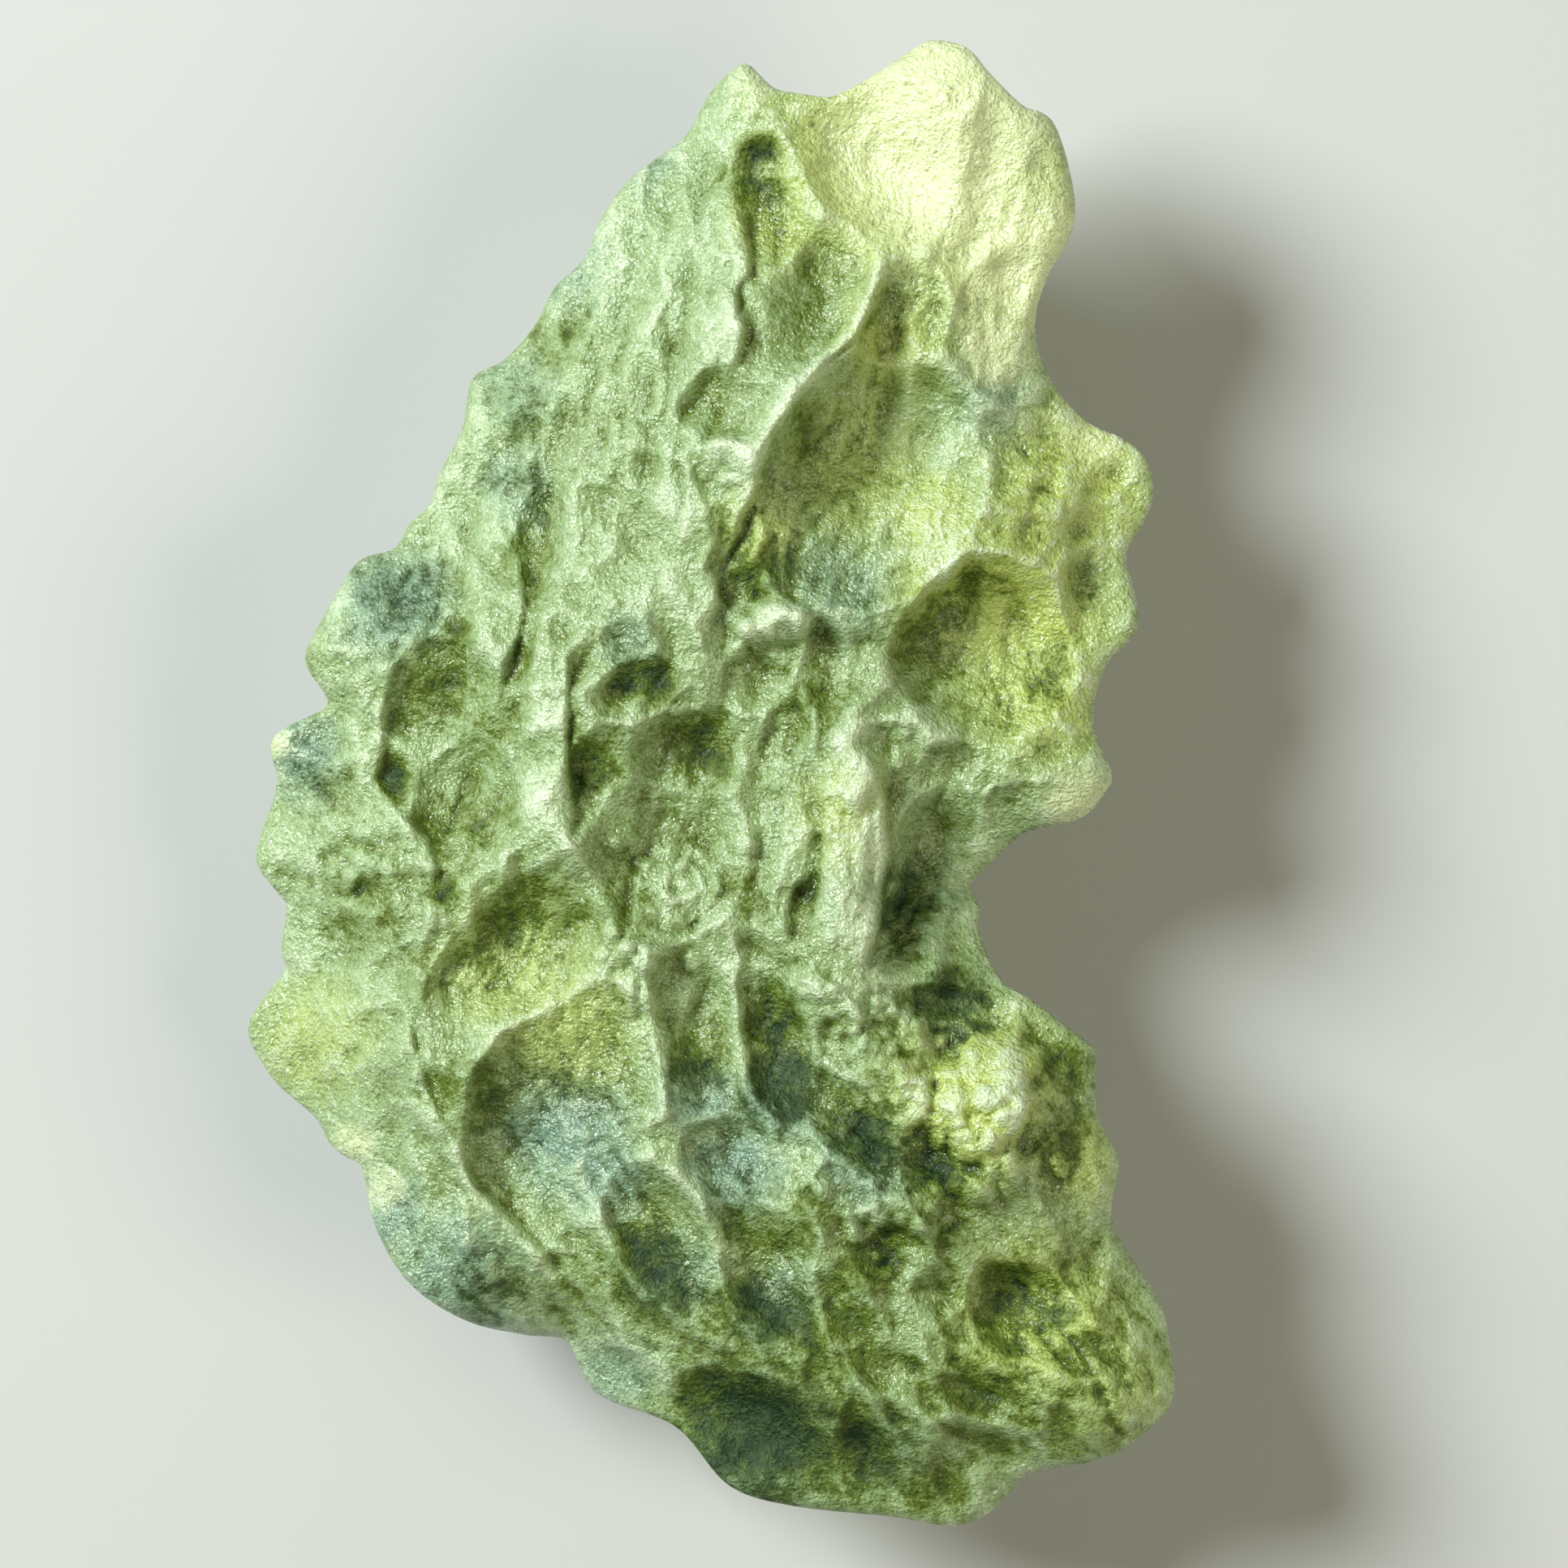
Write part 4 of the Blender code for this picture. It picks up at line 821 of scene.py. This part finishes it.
class Nodes:
    """A material's node tree, with short calls to add to it."""

    def __init__(self, name):
        self.material = bpy.data.materials.new(name)
        self.material.use_nodes = True
        self.tree = self.material.node_tree
        self.shader = self.tree.nodes["Principled BSDF"]
        self.output = self.tree.nodes["Material Output"]

    def link(self, source, target):
        self.tree.links.new(source, target)

    def add(self, kind, inputs=None, **settings):
        """A new node; each input is a value or another node's socket."""
        node = self.tree.nodes.new(kind)
        for name, value in settings.items():
            setattr(node, name, value)
        for name, value in (inputs or {}).items():
            if isinstance(value, bpy.types.NodeSocket):
                self.link(value, node.inputs[name])
            else:
                node.inputs[name].default_value = value
        return node

    def noise(self, scale, detail, roughness=0.5):
        """Noise in the object's own space, its scale in turns to a millimetre."""
        place = self.add("ShaderNodeTexCoord").outputs["Object"]
        return self.add("ShaderNodeTexNoise", {
            "Vector": place, "Scale": scale * 1000, "Detail": detail,
            "Roughness": roughness}).outputs["Fac"]

    def field(self, name):
        """A number that the mesh carries at each point."""
        return self.add("ShaderNodeAttribute", attribute_name=name).outputs["Fac"]

    def sum(self, first, second, first_share, second_share):
        """Two numbers added, each times its share."""
        scaled = self.add("ShaderNodeMath", {0: first, 1: first_share}, operation="MULTIPLY")
        return self.add("ShaderNodeMath", {0: second, 1: second_share, 2: scaled.outputs[0]},
                        operation="MULTIPLY_ADD").outputs[0]

    def ranged(self, value, low, high, to_low=0.0, to_high=1.0):
        """A value moved from one range to another, and kept inside it."""
        return self.add("ShaderNodeMapRange", {
            "Value": value, "From Min": low, "From Max": high,
            "To Min": to_low, "To Max": to_high}).outputs["Result"]

    def tint(self, name, noise, share, noise_share, low, high, most=1.0):
        """How strongly a tint shows, its field's edge broken by noise."""
        mixed = self.sum(self.field(name), noise, share, noise_share)
        return self.ranged(mixed, low, high, 0.0, most)

    def blend(self, share, first, second):
        """A colour between two colours."""
        mix = self.add("ShaderNodeMix", data_type="RGBA")
        for index, value in ((0, share), (6, first), (7, second)):
            socket = mix.inputs[index]
            if isinstance(value, bpy.types.NodeSocket):
                self.link(value, socket)
            else:
                socket.default_value = value
        return mix.outputs[2]


# Noises of the glass: turns to a millimetre, octaves, and roughness
ETCH_NOISE = (5.0, 2.0, 0.62)
GRAIN_NOISE = (14.0, 2.0, 0.5)
MOTTLE_NOISE = (2.2, 3.0, 0.7)
SPARK_NOISE = (9.0, 1.0)
# Heights of the etching and the grain in metres
ETCH_HEIGHT = 0.00010
GRAIN_HEIGHT = 0.00005
# Colours of the etched glass, from painted shade in the furrows, through the olive body and the
# frosty face, up to a painted highlight on the crests
PAINTED_SHADE_COLOUR = (0.020, 0.048, 0.014, 1.0)
OLIVE_COLOUR = (0.15, 0.215, 0.022, 1.0)
FROST_COLOUR = (0.36, 0.50, 0.215, 1.0)
CREST_HIGHLIGHT_COLOUR = (0.80, 0.93, 0.62, 1.0)
# The same in its cool places, a cooler tone with painted sheen and reflection, in its warm places, a
# yellower tone painted brighter where light would shine through, in a painted glow for light through
# thin glass, and in painted glints
COOL_BODY_COLOUR = (0.048, 0.10, 0.058, 1.0)
COOL_COLOUR = (0.25, 0.40, 0.31, 1.0)
WARM_COLOUR = (0.57, 0.67, 0.15, 1.0)
PAINTED_GLOW_COLOUR = (0.93, 1.0, 0.56, 1.0)
PAINTED_GLINT_COLOUR = (0.95, 1.0, 0.90, 1.0)
# What the glass takes from light that passes through it
DEPTH_COLOUR = (0.62, 0.76, 0.10, 1.0)
DEPTH_DENSITY = 420.0
GLASS_IOR = 1.49
TRANSMISSION = 0.30
# Roughness where the grain is low, and where it is high in the spots of painted shade and dark tone
ROUGHNESS = (0.12, 0.60)
DULL_RANGE = (0.3, 1.2)
SHADE_SPOT_DULLNESS = 0.5
# The thin gloss over the glass and the glass's own shine: in the open, and in the spots of painted
# shade and dark tone
GLOSS = (0.5, 0.0)
GLOSS_ROUGHNESS = 0.12
SHINE = (0.5, 0.12)
SHINE_RANGE = (0.0, 0.8)
# How much each thing lifts a place in the row of colours: rise and crest paint shade into furrows and
# light onto crests, the speck is random tone that is lighter on the etching's tops, the shade spots
# paint shade, the rim's lift paints a glow, and pale paints light
RISE_SHARE = 0.15
CREST_SHARE = 0.16
ETCH_SHARE = 0.45
GRAIN_SHARE = 0.55
SPECK_SHARE = 0.85
SHADE_SHARE = -0.42
PALE_SHARE = 0.24
RIM_GLOW_LIFT = 0.12
# The levels over which one colour turns into the next
BODY_LEVELS = (-0.22, 0.20)
FACE_LEVELS = (0.15, 0.46)
CREST_LEVELS = (0.50, 0.92)
# The crests' height is cut off at these values
CREST_RANGE = (-2.5, 0.7)
# The thin rim's painted glow starts at the first thickness and is full at the second, in mm
RIM_THICKNESSES = (2.2, 0.5)
# Shares of a tint's field and of the noise that breaks its edge, and the range it sets in over
COOL_TINT = (0.8, 0.8, 0.5, 1.3)
WARM_TINT = (0.95, 0.6, 0.4, 1.2)
PAINTED_GLOW_TINT = (1.0, 0.5, 0.45, 1.25)
SHADE_TINT = (1.0, 1.8, 1.0, 2.2)
MOST_SHADE = 1.5
# Painted glints: how much painted shade holds them back, the noise's range, and their strength
SPARK_LOSS = -0.16
SPARK_RANGE = (0.69, 0.77)
SPARK_STRENGTH = 0.7


def green_glass():
    """Etched green glass: see-through, with painted shade that darkens its furrows, painted
    highlights that frost its crests, a painted glow where it is thin, and painted glints.
    """
    nodes = Nodes("moldavite_glass")
    shader = nodes.shader
    etch = nodes.noise(*ETCH_NOISE)
    grain = nodes.noise(*GRAIN_NOISE)
    mottle = nodes.noise(*MOTTLE_NOISE)
    crest = nodes.ranged(nodes.field("crest"), *CREST_RANGE, *CREST_RANGE)
    # Painted shade in the front's placed spots, and random dark tone on the back
    shade_and_dark_tone = nodes.tint("shade_and_dark_tone", mottle, *SHADE_TINT, MOST_SHADE)
    # A cooler tone, with painted sheen and reflection on the front
    cool = nodes.tint("cool", mottle, *COOL_TINT)
    # A yellower tone, painted brighter on the front where light would shine through
    warm = nodes.tint("warm", mottle, *WARM_TINT)
    # Painted glow of light shining through thin glass
    painted_glow = nodes.tint("painted_glow", etch, *PAINTED_GLOW_TINT)
    # Painted glow along the thin rim
    rim = nodes.ranged(nodes.field("thickness"), *RIM_THICKNESSES)
    # The level paints shade into furrows and a highlight onto crests
    level = nodes.sum(nodes.field("rise"), crest, RISE_SHARE, CREST_SHARE)
    # Random tone from the etching and the grain, lighter on their bumps' tops as a painted shading of
    # the etching
    speck = nodes.sum(etch, grain, ETCH_SHARE, GRAIN_SHARE)
    # Pale paints light on the front's lit places and gives random paler tone on the back
    for part, share in ((speck, SPECK_SHARE), (shade_and_dark_tone, SHADE_SHARE), (rim, RIM_GLOW_LIFT),
                        (nodes.field("pale"), PALE_SHARE)):
        level = nodes.sum(level, part, 1.0, share)
    body = nodes.blend(cool, OLIVE_COLOUR, COOL_BODY_COLOUR)
    face = nodes.blend(warm, nodes.blend(cool, FROST_COLOUR, COOL_COLOUR), WARM_COLOUR)
    colour = nodes.blend(nodes.ranged(level, *BODY_LEVELS), PAINTED_SHADE_COLOUR, body)
    colour = nodes.blend(nodes.ranged(level, *FACE_LEVELS), colour, face)
    colour = nodes.blend(nodes.ranged(level, *CREST_LEVELS), colour, CREST_HIGHLIGHT_COLOUR)
    colour = nodes.blend(painted_glow, colour, PAINTED_GLOW_COLOUR)
    # Painted glints: white specks of painted light, fewer in the painted shade
    painted_glint = nodes.sum(nodes.noise(*SPARK_NOISE), shade_and_dark_tone, 1.0, SPARK_LOSS)
    painted_glint = nodes.ranged(painted_glint, *SPARK_RANGE, 0.0, SPARK_STRENGTH)
    nodes.link(nodes.blend(painted_glint, colour, PAINTED_GLINT_COLOUR), shader.inputs["Base Color"])
    dull = nodes.sum(grain, shade_and_dark_tone, 1.0, SHADE_SPOT_DULLNESS)
    nodes.link(nodes.ranged(dull, *DULL_RANGE, *ROUGHNESS), shader.inputs["Roughness"])
    nodes.link(nodes.ranged(shade_and_dark_tone, *SHINE_RANGE, *GLOSS), shader.inputs["Coat Weight"])
    nodes.link(nodes.ranged(shade_and_dark_tone, *SHINE_RANGE, *SHINE), shader.inputs["Specular IOR Level"])
    shader.inputs["Coat Roughness"].default_value = GLOSS_ROUGHNESS
    shader.inputs["IOR"].default_value = GLASS_IOR
    shader.inputs["Transmission Weight"].default_value = TRANSMISSION
    etched = nodes.add("ShaderNodeBump", {"Height": etch, "Strength": 1.0, "Distance": ETCH_HEIGHT})
    normal = nodes.add("ShaderNodeBump", {
        "Height": grain, "Strength": 1.0, "Distance": GRAIN_HEIGHT,
        "Normal": etched.outputs["Normal"]}).outputs["Normal"]
    nodes.link(normal, shader.inputs["Normal"])
    nodes.link(normal, shader.inputs["Coat Normal"])
    absorption = nodes.add("ShaderNodeVolumeAbsorption", {
        "Color": DEPTH_COLOUR, "Density": DEPTH_DENSITY})
    nodes.link(absorption.outputs["Volume"], nodes.output.inputs["Volume"])
    return nodes.material


def make_moldavite(low, high):
    """The stone in the solid's box, and the height of its rim's plane above the floor."""
    loop = outline_loop(OUTLINE_STEPS)
    mesh = slab(loop)
    sculpt(mesh, loop)
    mesh = thinned(mesh)
    rim_height = set_in_box(mesh, low, high)
    mesh.name = "moldavite_stone"
    mesh.materials.clear()
    mesh.materials.append(green_glass())
    return linked("moldavite_stone", mesh), rim_height


# The floor: half its side in metres, its two close tones and their slow noise
FLOOR_HALF = 0.6
FLOOR_PALE = (0.52, 0.52, 0.515, 1.0)
FLOOR_SHADE = (0.49, 0.49, 0.485, 1.0)
FLOOR_NOISE = (0.02, 3.0)
FLOOR_RANGE = (0.3, 0.7)
FLOOR_ROUGHNESS = 0.8


def make_floor():
    """A plain pale sheet under the stone."""
    mesh = bpy.data.meshes.new("floor")
    corners = [(-1, -1, 0), (1, -1, 0), (1, 1, 0), (-1, 1, 0)]
    mesh.from_pydata([Vector(c) * FLOOR_HALF for c in corners], [], [(0, 1, 2, 3)])
    nodes = Nodes("pale_sheet")
    share = nodes.ranged(nodes.noise(*FLOOR_NOISE), *FLOOR_RANGE)
    colour = nodes.blend(share, FLOOR_PALE, FLOOR_SHADE)
    nodes.link(colour, nodes.shader.inputs["Base Color"])
    nodes.shader.inputs["Roughness"].default_value = FLOOR_ROUGHNESS
    mesh.materials.append(nodes.material)
    return linked("floor", mesh)


# Lights: name, azimuth and elevation in degrees, distance and size in metres, power in watts,
# and colour
LIGHTS = [
    ("key", 152, 40, 0.30, 0.14, 1.60, (0.93, 1.0, 0.98)),
    ("fill", -20, 38, 0.26, 0.16, 0.34, (1.0, 0.97, 0.75)),
]
WORLD_COLOUR = (1.0, 0.98, 0.82, 1.0)
WORLD_STRENGTH = 0.09


def make_lights():
    """A soft key light from the upper left, a weak warm fill from the right, and pale air."""
    for name, azimuth, elevation, distance, size, power, colour in LIGHTS:
        lamp = bpy.data.lights.new(name, "AREA")
        lamp.shape = "DISK"
        lamp.size = size
        lamp.energy = power
        lamp.color = colour
        light = linked(name, lamp)
        turn, lift = math.radians(azimuth), math.radians(elevation)
        level = math.cos(lift)
        way = Vector((math.cos(turn) * level, math.sin(turn) * level, math.sin(lift)))
        light.location = way * distance
        light.rotation_euler = way.to_track_quat("Z", "Y").to_euler()
    world = bpy.data.worlds.new("studio")
    world.use_nodes = True
    background = world.node_tree.nodes["Background"]
    background.inputs["Color"].default_value = WORLD_COLOUR
    background.inputs["Strength"].default_value = WORLD_STRENGTH
    bpy.context.scene.world = world
    bpy.context.scene.view_settings.view_transform = "Standard"


# The picture's side in pixels, the camera's lens and sensor in mm, and the nearest and
# farthest that it sees in metres
FRAME_SIDE = 1932
LENS = 200.0
SENSOR = 36.0
NEAREST = 0.01
FARTHEST = 5.0


def make_camera(rim_height):
    """Straight above the stone, framed as in the picture."""
    width = FRAME_SIDE * PIXEL / 1000
    centre = placed(FRAME_SIDE / 2, FRAME_SIDE / 2)
    data = bpy.data.cameras.new("camera")
    data.lens = LENS
    data.sensor_width = SENSOR
    data.clip_start = NEAREST
    data.clip_end = FARTHEST
    camera = linked("camera", data)
    camera.location = (centre[0] / 1000, centre[1] / 1000, rim_height + width * LENS / SENSOR)
    bpy.context.scene.camera = camera


def main():
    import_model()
    low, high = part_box("moldavite")
    stone, rim_height = make_moldavite(low, high)
    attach(stone, "root")
    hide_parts("moldavite")
    make_floor()
    make_lights()
    make_camera(rim_height)


main()
